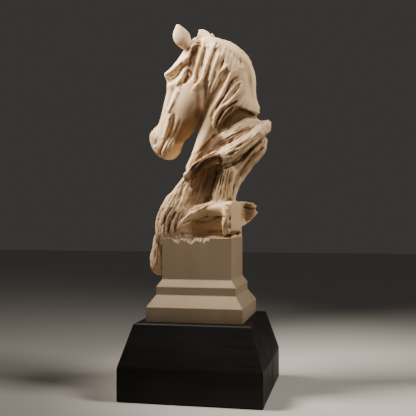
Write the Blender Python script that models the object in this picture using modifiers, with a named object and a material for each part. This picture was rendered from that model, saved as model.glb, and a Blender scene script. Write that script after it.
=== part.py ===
"""Carved wooden horse head on its moulded plinth, standing on a dark sloping base.

The horse, the broken top of the block and the plinth are one piece of pale wood.
The base is a second piece of dark wood. Both are solid.
Metres, +Z up, origin at the middle of the base's underside.
"""

import math

import bpy
import numpy as np
from mathutils import Matrix, Vector
from mathutils.bvhtree import BVHTree

# Dark base
BASE_WIDTH = 0.147
BASE_BAND_HEIGHT = 0.034
BASE_HEIGHT = 0.077
BASE_TOP_WIDTH = 0.120
BASE_EDGE_RADIUS = 0.0012
SEAT_GAP = 0.0003

# Plinth mouldings, from the foot up, and the square block over them
FOOT_WIDTH = 0.100
FOOT_BAND_HEIGHT = 0.015
FOOT_SLOPE_HEIGHT = 0.012
FILLET_WIDTH = 0.083
FILLET_HEIGHT = 0.0083
NECK_SLOPE_HEIGHT = 0.0074
BLOCK_WIDTH = 0.073
BLOCK_HEIGHT = 0.043

# The figure keeps its pose and carving as shares of its own height over the block
FIGURE_HEIGHT = 0.229
PATTERN_HEIGHT = 229.0
FIGURE_TURN = math.radians(11.6)

# How finely the carving is built
VOXEL_SHARE = 1.5 / PATTERN_HEIGHT
CLEFT_SHARE = 2.0 / PATTERN_HEIGHT
CARVING_TRIANGLES = 8600

# What is left standing of the block's right wall
WALL_THICKNESS = 0.007
WALL_HEIGHT = 0.039
WALL_INSET = 0.0004

PLINTH_HEIGHT = FOOT_BAND_HEIGHT + FOOT_SLOPE_HEIGHT + FILLET_HEIGHT + NECK_SLOPE_HEIGHT + BLOCK_HEIGHT
PLINTH_BOTTOM = BASE_HEIGHT + SEAT_GAP
BLOCK_TOP = PLINTH_BOTTOM + PLINTH_HEIGHT
UNIT = FIGURE_HEIGHT / PATTERN_HEIGHT


def smooth_rows(rows, count):
    """Rows carried on a smooth curve: cubic pieces through every row, spaced by chord length."""
    rows = np.asarray(rows, float)
    steps = np.linalg.norm(np.diff(rows[:, :3], axis=0), axis=1)
    knots = np.concatenate([[0.0], np.cumsum(steps)])
    slopes = np.gradient(rows, knots, axis=0)
    t = np.linspace(0.0, knots[-1], count)
    k = np.clip(np.searchsorted(knots, t, side="right") - 1, 0, len(knots) - 2)
    span = knots[k + 1] - knots[k]
    x = ((t - knots[k]) / span)[:, None]
    span = span[:, None]
    start = (2 * x**3 - 3 * x**2 + 1) * rows[k] + (x**3 - 2 * x**2 + x) * span * slopes[k]
    end = (3 * x**2 - 2 * x**3) * rows[k + 1] + (x**3 - x**2) * span * slopes[k + 1]
    return start + end


def unit_rows(vectors):
    """Each row scaled to length one."""
    return vectors / np.linalg.norm(vectors, axis=-1, keepdims=True)


def skin(rings):
    """Points and faces of a closed shell through rings of points, its ends closed at a pole."""
    count, sides, _ = rings.shape
    points = np.concatenate([rings.reshape(-1, 3), rings[:1].mean(axis=1), rings[-1:].mean(axis=1)])
    i = np.arange(sides)
    j = (i + 1) % sides
    first, last = count * sides, count * sides + 1
    faces = [(first, a, b) for a, b in zip(j.tolist(), i.tolist())]
    for ring in range(count - 1):
        low, high = ring * sides, (ring + 1) * sides
        faces += [(low + a, low + b, high + b, high + a) for a, b in zip(i.tolist(), j.tolist())]
    top = (count - 1) * sides
    faces += [(last, top + a, top + b) for a, b in zip(i.tolist(), j.tolist())]
    return points, faces


def sweep(path, facing, half_width, half_depth, bow=0.0, ridge=0.0, sides=16):
    """A closed shell round a path: an ellipse across it, bowed back at its sides or ridged in front.

    facing is the direction the shell shows, half_width and half_depth run along the path.
    """
    along = unit_rows(np.gradient(path, axis=0))
    facing = np.broadcast_to(np.asarray(facing, float), path.shape)
    out = unit_rows(facing - (facing * along).sum(axis=1, keepdims=True) * along)
    across = np.cross(along, out)
    angle = np.linspace(0.0, 2.0 * math.pi, sides, endpoint=False)
    x, y = np.cos(angle), np.sin(angle)
    y = np.where(y > 0, y * (1.0 - ridge * np.abs(x)), y)
    wide = np.asarray(half_width, float)[:, None, None]
    deep = np.asarray(half_depth, float)[:, None, None]
    rings = path[:, None] + across[:, None] * wide * x[None, :, None]
    rings = rings + out[:, None] * (deep * y[None, :, None] - bow * wide * (x**2)[None, :, None])
    return skin(rings)


def near_line(points, line, width):
    """How close each 2-D point is to a line through a few points, from 1 on it to 0 past its width."""
    line = np.asarray(line, float)
    best = np.full(len(points), np.inf)
    for a, b in zip(line[:-1], line[1:]):
        along = np.clip(((points - a) @ (b - a)) / ((b - a) @ (b - a)), 0.0, 1.0)
        best = np.minimum(best, np.linalg.norm(points - a - along[:, None] * (b - a), axis=1))
    return np.exp(-((best / width) ** 2))


# The figure's own frame, in pattern units: right, away from the show side, up.
# The head has a frame of its own inside it: along the face, forward, and out to the side.
POLL = np.array([-12.0, 3.0, 206.0])
HEAD_TURN = math.radians(33.0)
HEAD_NOD = math.radians(23.0)
HEADING = np.array([-math.cos(HEAD_TURN), math.sin(HEAD_TURN), 0.0])
UP = np.array([0.0, 0.0, 1.0])
HEAD_ALONG = HEADING * math.sin(HEAD_NOD) - UP * math.cos(HEAD_NOD)
HEAD_FORWARD = HEADING * math.cos(HEAD_NOD) + UP * math.sin(HEAD_NOD)
HEAD_LEFT = np.array([-math.sin(HEAD_TURN), -math.cos(HEAD_TURN), 0.0])

# Along the face, front line, widest place, jaw line, half width, front and jaw squareness
HEAD_SECTIONS = (
    (-9.0, 1.0, -4.0, -12.0, 6.0, 2.0, 2.0),
    (-4.0, 4.0, -4.0, -17.0, 10.5, 2.0, 2.0),
    (6.0, 6.0, -3.0, -24.0, 13.0, 2.2, 2.0),
    (16.0, 7.5, -2.0, -30.0, 15.5, 2.5, 2.1),
    (27.0, 11.0, 0.0, -36.0, 17.5, 2.9, 2.2),
    (37.0, 13.5, -2.0, -39.5, 19.0, 2.8, 2.3),
    (46.0, 11.5, -8.0, -41.0, 19.0, 2.3, 2.5),
    (54.0, 10.5, -12.0, -41.5, 18.5, 2.1, 2.6),
    (64.0, 10.5, -14.0, -41.0, 17.5, 2.0, 2.6),
    (74.0, 10.0, -13.0, -38.5, 15.8, 1.9, 2.5),
    (84.0, 9.5, -11.0, -35.5, 13.6, 1.9, 2.3),
    (92.0, 10.0, -9.0, -31.5, 12.3, 2.0, 2.1),
    (99.0, 14.0, -7.0, -28.0, 12.2, 2.2, 2.0),
    (105.0, 15.5, -6.0, -27.0, 13.0, 2.3, 2.1),
    (112.0, 12.5, -6.0, -26.5, 13.0, 2.3, 2.2),
    (117.5, 7.5, -7.0, -24.5, 11.5, 2.2, 2.2),
    (122.0, 1.5, -8.0, -20.5, 9.0, 2.1, 2.1),
    (124.8, -4.5, -10.0, -15.0, 4.5, 2.0, 2.0),
)

# Dabs on the sides of the head: along, forward, radius, height
HEAD_DABS = (
    (37.0, 12.0, 5.5, 2.6),
    (57.0, -22.0, 15.0, 1.6),
    (104.0, 4.0, 5.0, 1.8),
    (121.0, -19.0, 5.0, 1.4),
    (98.0, -19.0, 6.0, -1.5),
)

# Lines on the sides of the head: places along and forward, width, height
HEAD_LINES = (
    (((20.0, -8.0), (29.0, -6.5), (36.0, -4.0), (42.0, 3.5)), 2.8, -3.6),
    (((11.0, -8.0), (21.0, -2.0), (30.0, 3.0), (37.0, 11.0)), 3.4, 2.4),
    (((34.0, -12.0), (42.0, -6.0), (48.0, 4.0)), 3.4, 1.4),
    (((48.0, -14.0), (60.0, -13.0), (72.0, -9.0)), 2.4, 1.8),
    (((50.0, -7.0), (64.0, -4.0), (76.0, -2.0)), 2.8, -1.4),
    (((74.0, -17.0), (86.0, -16.0), (97.0, -14.0)), 2.0, -1.8),
    (((78.0, -12.0), (90.0, -11.0), (102.0, -9.0)), 1.8, 1.2),
    (((103.0, 5.0), (109.0, 3.5), (113.0, 1.0), (110.0, -1.0)), 2.0, -3.8),
    (((103.0, -14.0), (112.0, -12.5), (120.0, -10.5), (127.0, -9.5)), 1.5, -3.6),
    (((106.0, -18.0), (114.0, -16.0)), 1.8, 1.2),
)


def in_head(along, forward, left):
    """Points of the head's frame in the figure's frame."""
    along, forward, left = (np.asarray(v, float)[..., None] for v in (along, forward, left))
    return POLL + along * HEAD_ALONG + forward * HEAD_FORWARD + left * HEAD_LEFT


def head(rings=90, sides=64):
    """The head: a loft down the face, each section a squared oval with its widest place named."""
    rows = smooth_rows(np.array(HEAD_SECTIONS)[:, [0, 1, 3, 2, 4, 5, 6]], rings)
    along, front, jaw, widest, half, front_square, jaw_square = (rows[:, k, None] for k in range(7))
    angle = np.linspace(0.0, 2.0 * math.pi, sides, endpoint=False)[None]
    c, s = np.cos(angle), np.sin(angle)
    square = np.where(c > 0, front_square, jaw_square)
    reach = np.where(c > 0, front - widest, widest - jaw)
    forward = widest + reach * np.sign(c) * np.abs(c) ** (2 / square)
    side = half * np.sign(s) * np.abs(s) ** (2 / square)
    along = np.broadcast_to(along, forward.shape)
    flank = np.clip(np.abs(side) / half, 0.0, 1.0) ** 1.2
    plan = np.stack([along.ravel(), forward.ravel()], axis=1)
    rise = np.zeros(len(plan))
    for a, f, radius, height in HEAD_DABS:
        rise += height * np.exp(-(((plan[:, 0] - a) ** 2 + (plan[:, 1] - f) ** 2) / radius**2))
    for line, width, height in HEAD_LINES:
        rise += height * near_line(plan, line, width)
    rise = rise.reshape(forward.shape) * flank
    middle = np.broadcast_to(widest, forward.shape)
    spread = np.stack([forward - middle, side], axis=-1)
    spread = spread / np.maximum(np.linalg.norm(spread, axis=-1, keepdims=True), 1e-6)
    return skin(in_head(along, forward + rise * spread[..., 0], side + rise * spread[..., 1]))


# The neck from poll to block: crest (right, up), throat (right, up), half its depth
NECK_SECTIONS = (
    (-7.0, 214.0, -14.0, 206.0, 5.0),
    (6.0, 216.5, -12.0, 192.0, 10.0),
    (17.5, 213.0, -9.0, 178.0, 13.5),
    (28.0, 205.0, -5.0, 164.0, 16.0),
    (37.0, 197.5, -3.0, 153.0, 17.0),
    (46.0, 188.0, -2.0, 144.0, 17.5),
    (51.5, 176.0, -2.0, 136.0, 17.5),
    (53.0, 162.0, -2.0, 128.0, 17.5),
    (54.5, 147.0, -4.0, 120.5, 17.0),
    (57.0, 132.0, -5.5, 114.0, 16.5),
    (57.0, 118.0, -8.0, 106.0, 16.5),
    (53.0, 104.0, -11.0, 96.0, 17.0),
    (48.0, 90.0, -15.0, 86.0, 17.5),
    (44.0, 77.0, -19.0, 77.0, 18.5),
    (37.0, 62.0, -20.0, 67.0, 19.5),
    (33.0, 50.0, -24.0, 56.0, 21.0),
    (31.0, 38.0, -32.0, 43.0, 23.0),
    (30.0, 25.0, -40.0, 31.0, 25.0),
    (30.0, 12.0, -45.0, 16.0, 26.0),
    (30.0, -6.0, -44.0, -6.0, 26.0),
)

# Hollows and swells on the flanks of the neck: right, up, radius, height
NECK_DABS = (
    (40.0, 127.0, 13.0, -8.0),
    (24.0, 118.0, 10.0, -7.0),
    (10.0, 66.0, 10.0, -6.0),
    (0.0, 12.0, 13.0, -11.0),
    (17.0, 12.0, 10.0, -9.0),
)

# Furrows and ridges on the flanks of the neck: places (right, up), width, height
NECK_LINES = (
    (((12.0, 112.0), (4.0, 98.0), (-6.0, 82.0), (-17.0, 70.0)), 5.5, -5.0),
    (((-2.0, 124.0), (-4.0, 106.0), (-12.0, 88.0)), 4.0, 1.5),
    (((16.0, 80.0), (4.0, 66.0), (-6.0, 52.0), (-13.0, 38.0)), 10.0, -11.0),
    (((16.0, 68.0), (7.0, 53.0), (3.0, 41.0)), 6.5, -8.0),
)


# How much of the relief the hidden far side has
FAR_RELIEF = 0.35


def neck(rings=84, sides=64):
    """The neck and chest: a loft of ovals from crest to throat, furrowed on its flanks."""
    rows = smooth_rows(NECK_SECTIONS, rings)
    crest, throat, depth = rows[:, None, 0:2], rows[:, None, 2:4], rows[:, 4, None]
    angle = np.linspace(0.0, 2.0 * math.pi, sides, endpoint=False)[None]
    c, s = np.cos(angle), np.sin(angle)
    across = (0.5 + 0.5 * np.sign(c) * np.abs(c) ** 0.85)[..., None]
    seen = throat + (crest - throat) * across
    plan = seen.reshape(-1, 2)
    rise = np.zeros(len(plan))
    for u, v, radius, height in NECK_DABS:
        rise += height * np.exp(-(((plan[:, 0] - u) ** 2 + (plan[:, 1] - v) ** 2) / radius**2))
    for line, width, height in NECK_LINES:
        rise += height * near_line(plan, line, width)
    relief = rise.reshape(rings, sides) * np.where(s < 0, 1.0, FAR_RELIEF)
    away = (depth * np.abs(s) ** 0.9 + relief * s**2) * np.sign(s)
    return skin(np.stack([seen[..., 0], away, seen[..., 1]], axis=-1))


# Ears and tufts: root, middle and tip (right, away, up), the way the back faces, size
EARS = (
    (((-17.0, -6.0, 205.0), (-23.0, -9.0, 214.5), (-28.5, -8.0, 229.2)), (0.1, -1.0, 0.1), 1.0),
    (((2.0, 13.0, 204.0), (2.0, 14.0, 216.0), (-4.5, 13.0, 230.0)), (0.5, 0.85, 0.1), 1.05),
    (((8.0, 8.0, 208.0), (9.5, 9.0, 216.0), (9.0, 9.0, 224.0)), (0.4, -0.9, 0.1), 0.55),
    (((-10.0, 2.0, 206.0), (-8.0, 3.0, 212.0), (-6.0, 4.0, 219.0)), (0.4, -0.9, 0.1), 0.6),
)


def ear(places, facing, size):
    """An ear: a pointed leaf, cupped forward, its back turned out."""
    path = smooth_rows(places, 18)
    t = np.linspace(0.0, 1.0, 18)
    leaf = np.interp(t, [0, 0.2, 0.35, 0.55, 0.75, 0.9, 1], [5.5, 8.0, 9.3, 9.3, 6.8, 3.2, 0.6]) * size
    thick = np.interp(t, [0, 0.3, 0.8, 1], [4.5, 3.4, 1.9, 0.6]) * size
    return sweep(path, facing, leaf, thick, bow=0.25, sides=16)


def lay(points, trunk, side, count):
    """A line seen from the show side (right, up), laid on the trunk's near or far surface."""
    flat = smooth_rows([(u, v, 0.0) for u, v in points], count)
    away = np.empty(count)
    for i, (u, v, _) in enumerate(flat):
        hit = trunk.ray_cast(Vector((u, -side * 200.0, v)), Vector((0.0, side, 0.0)))[0]
        away[i] = (hit or trunk.find_nearest(Vector((u, -side * 12.0, v)))[0]).y
    smooth = np.convolve(np.pad(away, 3, mode="edge"), np.ones(7) / 7, mode="valid")
    return np.stack([flat[:, 0], smooth, flat[:, 1]], axis=1)


# The mane's locks, root to tip: places (right, up), lift of the tip, then the trough behind the lock:
# its depth and the share of the lock's length where it begins
MANE_LOCKS = (
    (((-12, 211), (-15, 198), (-17, 184), (-19, 171), (-27, 156)), 1.5, 9.0, 0.1),
    (((0, 214), (-2, 203), (-5, 190), (-7, 178), (-12, 166)), 2.0, 4.0, 0.0),
    (((9, 215), (8, 203), (3, 187), (0, 173), (-12, 153)), 4.0, 8.5, 0.15),
    (((18, 213), (17, 200), (11, 181), (5, 162), (0, 131)), 2.0, 3.0, 0.2),
    (((26, 209), (25, 196), (17, 176), (9, 158), (2, 139)), 2.0, 6.5, 0.4),
    (((35, 203), (35, 189), (27, 168), (15, 147), (8, 124)), 3.0, 2.5, 0.3),
    (((42, 197), (42, 180), (33, 161), (21, 145), (10, 119)), 4.5, 3.0, 0.3),
    (((47, 191), (47, 176), (39, 158), (27, 144), (13, 117)), 7.0, 0.0, 0.0),
    (((50, 184), (50, 169), (46, 154), (42, 146), (37, 139)), 7.5, 0.0, 0.0),
    (((52, 176), (52, 162), (51, 149), (49.5, 141), (47, 134)), 7.0, 0.0, 0.0),
    (((53, 169), (54, 157), (56.5, 146), (59, 138), (60.5, 132)), 2.0, 0.0, 0.0),
)
MANE_ROOT_SUNK = 1.5
MANE_BODY = 3.0
MANE_THICKNESS = 4.5
TROUGH_FLATNESS = 0.5
FAR_SHIFT = 16.0
HEM_SCALLOP = 0.16
SCALLOPED_TROUGH = 6.0


def slab(front, back):
    """A closed shell between two grids of points, walled along all four edges."""
    m, n, _ = front.shape
    points = np.concatenate([front.reshape(-1, 3), back.reshape(-1, 3)])
    grid = np.arange(m * n).reshape(m, n)
    a, b, c, d = grid[:-1, :-1], grid[1:, :-1], grid[1:, 1:], grid[:-1, 1:]
    cells = np.stack([a, b, c, d], axis=-1).reshape(-1, 4)
    edge = np.concatenate([grid[:, 0], grid[-1, 1:], grid[-2::-1, -1], grid[0, -2:0:-1]])
    follow = np.roll(edge, -1)
    wall = np.stack([follow, edge, edge + m * n, follow + m * n], axis=-1)
    faces = np.concatenate([cells, cells[:, ::-1] + m * n, wall])
    return points, [tuple(f) for f in faces.tolist()]


def mane(trunk, side, columns=8, rows=40):
    """One side of the mane: a sheet carried from lock to lock, high on each lock and dipping between."""
    far = side < 0
    count = len(MANE_LOCKS)
    laid = []
    for k, (places, *_) in enumerate(MANE_LOCKS):
        shift = FAR_SHIFT * (1.0 - k / (count - 1)) if far else 0.0
        laid.append(lay([(u + shift, v) for u, v in places], trunk, side, rows))
    tips, troughs, starts = (np.array([lock[n] for lock in MANE_LOCKS]) for n in (1, 2, 3))
    s = np.linspace(0.0, count - 1.0, (count - 1) * columns + 1)
    k = np.minimum(s.astype(int), count - 2)
    between = s - k
    blend = between[:, None, None] ** 2 * (3.0 - 2.0 * between[:, None, None])
    laid = np.array(laid)
    sheet = laid[k] * (1.0 - blend) + laid[k + 1] * blend
    dip = (0.5 * (1.0 - np.cos(2.0 * math.pi * between))) ** TROUGH_FLATNESS
    scallop = np.ones_like(dip) if far else np.minimum(1.0, troughs[k] / SCALLOPED_TROUGH)
    reach = 1.0 - HEM_SCALLOP * dip * scallop
    t = np.linspace(0.0, 1.0, rows)
    sheet = np.stack([
        np.stack([np.interp(t * r, t, column[:, axis]) for axis in range(3)], axis=-1)
        for r, column in zip(reach, sheet)
    ])
    tip = (tips[k] * (1.0 - between) + tips[k + 1] * between)[:, None]
    lift = MANE_BODY - (MANE_ROOT_SUNK + MANE_BODY) * (1.0 - np.clip(t[None] / 0.2, 0.0, 1.0)) ** 2
    lift = lift + (tip - MANE_BODY) * np.clip((t[None] - 0.35) / 0.65, 0.0, 1.0) ** 1.5
    opened = np.clip((t[None] - starts[k][:, None]) / 0.22, 0.0, 1.0)
    opened = opened**2 * (3.0 - 2.0 * opened) * (FAR_RELIEF if far else 1.0)
    lift = lift - (troughs[k] * dip)[:, None] * opened
    front, back = sheet.copy(), sheet.copy()
    front[..., 1] -= side * lift
    back[..., 1] -= side * (np.minimum(lift, tip) - MANE_THICKNESS)
    if far:
        front, back = front[::-1], back[::-1]
    return slab(front, back)


# Top of the mane between its two sides: places (right, away, up), half width
MANE_CREST = (
    (-9, 3, 208, 6), (0, 3, 211, 8), (8, 2, 211.5, 10), (16, 2, 210, 11), (26.5, 1, 204, 12.5),
    (35.5, 0, 197, 13.5), (41.5, 0, 190.5, 14), (46, 0, 185.5, 14), (49.5, 0, 178, 14), (51, 0, 168, 14),
    (51, 0, 158, 13.5), (52, 0, 148.5, 12.5), (54.5, 0, 141, 10.5), (56.5, 0, 136.5, 8),
)
MANE_CREST_DEPTH = 5.5
MANE_MIDDLE = np.array([10.0, 0.0, 150.0])


def mane_crest():
    """The rounded top of the mane, which closes it between its two sides."""
    rows = smooth_rows(MANE_CREST, 40)
    depth = np.full(len(rows), MANE_CREST_DEPTH)
    return sweep(rows[:, :3], rows[:, :3] - MANE_MIDDLE, rows[:, 3], depth, sides=24)


# Free shapes of the lower carving: the way each faces, then places (right, away, up, half width,
# half depth)
LOWER_SHAPES = (
    # Long rear lock with its blunt raised end
    ((-0.1, -1.0, 0.2), ((8, -16, 80, 4, 3), (22, -20, 86, 8, 5), (36, -20, 95, 9, 6),
                         (48, -17, 105, 9.5, 6), (59, -12, 114, 9, 6.5), (67.5, -7, 121, 6.5, 4.5),
                         (71, -4, 125, 3, 2))),
    # Flatter strands between it and the hollow under the mane
    ((-0.1, -1.0, 0.1), ((10, -13, 90, 6, 4), (22, -15, 100, 10, 5), (36, -15, 110, 11, 5.5),
                         (50, -11, 119, 10, 5.5), (58, -6, 124, 6, 5))),
    # Mass behind them, down the back of the neck
    ((0.3, -0.9, -0.2), ((22.5, -2, 34, 10, 20), (25.3, -2, 51, 10, 20), (31.3, -2, 64, 10, 18),
                         (40.3, -2, 76, 10, 16), (51.3, -2, 89, 10, 13), (60.5, -3, 99.5, 8.5, 9.5),
                         (66.5, -4, 107, 3.5, 4))),
    # Lip over the hollow, in front of the bare neck
    ((0.0, -1.0, 0.6), ((-18, -17, 63, 4.5, 8), (-12, -18, 69, 4.5, 9.5), (-2, -19, 76.5, 4.5, 10.5),
                        (8, -19, 82, 4.5, 10.5), (15, -19, 84.5, 4, 9), (19, -19, 81, 3, 7))),
    # Broad upright mass at the right of the hollow
    ((0.0, -1.0, 0.0), ((27, -16, 77, 4, 4), (25, -18, 67, 8, 6), (21, -20, 56, 9, 7),
                        (18, -21, 46, 9, 7), (16, -21, 36, 7, 6))),
    # Broad band down the front of the chest, then a low strand on it
    ((-0.35, -0.95, 0.0), ((-15, -14, 70, 3, 4), (-20, -17, 57, 6, 6), (-26.5, -20, 45, 8, 7),
                           (-33, -22, 34, 10.5, 8), (-37, -22.5, 22, 12.5, 8), (-39, -22, 6, 13, 7),
                           (-38, -20, -7, 11, 6))),
    ((0.0, -1.0, 0.2), ((-14, -21, 52, 3, 2.5), (-22, -25, 40, 4, 3), (-28, -27, 28, 4.5, 3.5),
                        (-33, -28, 16, 5, 3.5), (-35, -26, 3, 5, 3), (-35, -22, -6, 5, 3))),
    # Strand whose lower edge arches over the recess
    ((0.0, -1.0, 0.4), ((12, -24, 35, 4, 4), (0, -23, 30, 6.5, 6), (-10, -23, 26, 7.5, 6.5),
                        (-19, -24, 20, 7, 6), (-26, -24, 11, 6.5, 6), (-29, -22, 1, 6.5, 5),
                        (-30, -20, -6, 6, 4))),
    # Back of the recess, as far as the wall
    ((0.0, -1.0, 0.0), ((-6, -13, 12, 9, 6), (8, -13, 15, 12, 8), (20, -14, 17, 13, 9),
                        (30, -15, 18, 12, 9))),
    # Plainer, flatter strands down the far side
    ((-0.2, 1.0, 0.0), ((60, 3, 116, 5, 3), (50, 9, 104, 9, 4), (38, 13, 90, 10, 4), (26, 15, 74, 9, 4),
                        (14, 17, 58, 8, 4), (2, 19, 40, 6, 3))),
    ((-0.3, 1.0, 0.0), ((26, 11, 84, 5, 4), (12, 14, 66, 9, 4.5), (-6, 16, 46, 9, 5), (-20, 17, 26, 9, 6),
                        (-28, 17, 4, 8, 6))),
    ((-0.2, 1.0, 0.0), ((34, 13, 60, 6, 5), (22, 18, 44, 9, 5), (10, 20, 26, 9, 5.5), (2, 20, 4, 8, 5))),
    # Smooth limb that reaches to the wall left standing
    ((0.0, -1.0, 0.4), ((-2, -22, 27, 3.5, 5), (8, -25, 29, 5, 6), (16, -28, 29.5, 7, 6.5),
                        (24, -30, 29, 7.8, 6), (27, -30, 29, 6.5, 5))),
    # Torn fibres at the wall's near end
    ((-0.5, -0.9, 0.0), ((24, -39, 31, 3, 3), (22, -41, 20, 3, 2.5), (20.5, -41, 11, 2.6, 2.4),
                         (22, -40, 3, 2.4, 2))),
)


def lower_shapes():
    """The rear lock, the masses, the lip, the strands, the limb and the torn fibres."""
    shells = []
    for facing, rows in LOWER_SHAPES:
        rows = smooth_rows(rows, 26)
        shells.append(sweep(rows[:, :3], facing, rows[:, 3], rows[:, 4], ridge=0.15, sides=18))
    return shells


# Torn flap behind the wall: its edge (right, up) from below to above, and the line it stands on (right, away)
FLAP_EDGE = (
    (40.0, 10.0), (43.7, 11.7), (51.5, 16.8), (57.1, 22.4), (61.0, 26.8), (57.4, 30.4), (59.6, 34.2),
    (54.9, 37.6), (46.0, 38.8),
)
FLAP_ROOT = (32.0, 14.0)
FLAP_LEAN = 0.64
FLAP_THICKNESS = 4.2
FLAP_CUP = 2.0


def flap(rows=40, columns=14):
    """The torn flap: a cupped sheet from its root to a ragged edge."""
    edge = np.array(FLAP_EDGE)
    v = np.linspace(edge[0, 1], edge[-1, 1], rows)[:, None]
    share = np.linspace(0.0, 1.0, columns)[None]
    u = FLAP_ROOT[0] + (np.interp(v, edge[:, 1], edge[:, 0]) - FLAP_ROOT[0]) * share
    away = FLAP_ROOT[1] + (u - FLAP_ROOT[0]) * FLAP_LEAN
    height = (v - v.min()) / (v.max() - v.min())
    cup = FLAP_CUP * np.sin(math.pi * share) * np.sin(math.pi * height)
    v = np.broadcast_to(v, u.shape)
    front = np.stack([u, away + cup, v], axis=-1)
    back = np.stack([u, away + cup + FLAP_THICKNESS * (1.0 - 0.3 * share), v], axis=-1)
    return slab(front, back)


def clear_scene():
    """Start with no objects."""
    for old in list(bpy.data.objects):
        bpy.data.objects.remove(old, do_unlink=True)


def collection(name):
    """A new collection in the scene."""
    made = bpy.data.collections.new(name)
    bpy.context.scene.collection.children.link(made)
    return made


def mesh_object(name, points, faces, group):
    """An object from points and faces."""
    mesh = bpy.data.meshes.new(name)
    mesh.from_pydata([tuple(p) for p in points], [], faces)
    mesh.update()
    made = bpy.data.objects.new(name, mesh)
    group.objects.link(made)
    return made


def wood(name, colour, roughness):
    """A wood finish."""
    material = bpy.data.materials.new(name)
    material.use_nodes = True
    shader = material.node_tree.nodes["Principled BSDF"]
    shader.inputs["Base Color"].default_value = (*colour, 1.0)
    shader.inputs["Roughness"].default_value = roughness
    shader.inputs["Metallic"].default_value = 0.0
    return material


def evaluated_mesh(item):
    """The mesh of an object with its modifiers in."""
    bpy.context.view_layer.update()
    return bpy.data.meshes.new_from_object(item.evaluated_get(bpy.context.evaluated_depsgraph_get()))


def figure_place():
    """From the figure's frame to the plinth's: scaled to size, turned, and stood on the block."""
    turn = Matrix.Rotation(FIGURE_TURN, 4, "Z")
    return Matrix.Translation((0.0, 0.0, BLOCK_TOP)) @ turn @ Matrix.Scale(UNIT, 4)


def hanging_lock():
    """The lock that hangs down the block's left side, in metres: it lies on the block's face."""
    face = -BLOCK_WIDTH / 2
    drop = 0.90 * BLOCK_HEIGHT
    rows = ((face + 0.006, 0.24, 6, 8), (face - 0.005, 0.05, 8, 12), (face - 0.009, -0.30, 7.5, 12),
            (face - 0.011, -0.65, 8, 12), (face - 0.010, -0.88, 7, 10), (face - 0.005, -1.0, 4, 6))
    rows = [(x, -0.2 * BLOCK_WIDTH, BLOCK_TOP + share * drop, half * UNIT, deep * UNIT)
            for x, share, half, deep in rows]
    rows = smooth_rows(rows, 26)
    return sweep(rows[:, :3], (0.0, -1.0, 0.0), rows[:, 3], rows[:, 4], sides=18)


def broken_bed():
    """The rough bed left over the block's top, in metres: a low mound set back from the front edge."""
    half = BLOCK_WIDTH / 2
    rows = ((-0.96, 0.55, 3.0), (-0.8, 0.78, 5.0), (-0.3, 0.82, 7.0), (0.3, 0.82, 7.0), (0.7, 0.78, 6.0),
            (0.95, 0.6, 4.0))
    rows = [(x * half, 0.12 * half, BLOCK_TOP - UNIT, y * half, rise * UNIT) for x, y, rise in rows]
    rows = smooth_rows(rows, 22)
    return sweep(rows[:, :3], (0.0, 0.0, 1.0), rows[:, 3], rows[:, 4], sides=24)


# Outline of the wall left standing: shares of the block's width from its middle, and of the wall's height
WALL_OUTLINE = (
    (-0.5, 0.14), (-0.3, 0.10), (-0.1, 0.13), (0.1, 0.15), (0.22, 0.10), (0.25, -0.1), (0.5, -0.1),
    (0.495, 0.45), (0.485, 0.72), (0.44, 0.88), (0.3, 0.95), (0.05, 1.0), (-0.25, 0.985), (-0.42, 0.96),
    (-0.49, 0.9), (-0.5, 0.6), (-0.47, 0.5), (-0.5, 0.4), (-0.46, 0.28),
)


def standing_wall():
    """What is left of the block's right wall, in metres: broken from the block at its near foot."""
    outer = BLOCK_WIDTH / 2 - WALL_INSET
    reach = BLOCK_WIDTH - 2 * WALL_INSET
    face = [(outer, y * reach, BLOCK_TOP + z * WALL_HEIGHT) for y, z in WALL_OUTLINE]
    inner = [(x - WALL_THICKNESS, y, z) for x, y, z in face]
    count = len(face)
    around = [(i, i + count, (i + 1) % count + count, (i + 1) % count) for i in range(count)]
    ends = [tuple(range(count)), tuple(range(2 * count - 1, count - 1, -1))]
    return np.array(face + inner), ends + around


def gathered(shells):
    """Points and faces of several shells as one."""
    points, faces = [], []
    total = 0
    for p, f in shells:
        points.append(p)
        faces += [tuple(i + total for i in face) for face in f]
        total += len(p)
    return np.concatenate(points), faces


def fuse(item, voxel):
    """A voxel remesh, which makes one skin of all that overlaps."""
    made = item.modifiers.new("fuse", "REMESH")
    made.mode = "VOXEL"
    made.voxel_size = voxel


def offset(item, distance):
    """Moves a skin out along its normals, or in."""
    made = item.modifiers.new("offset", "DISPLACE")
    made.mid_level = 0.0
    made.strength = distance


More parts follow.
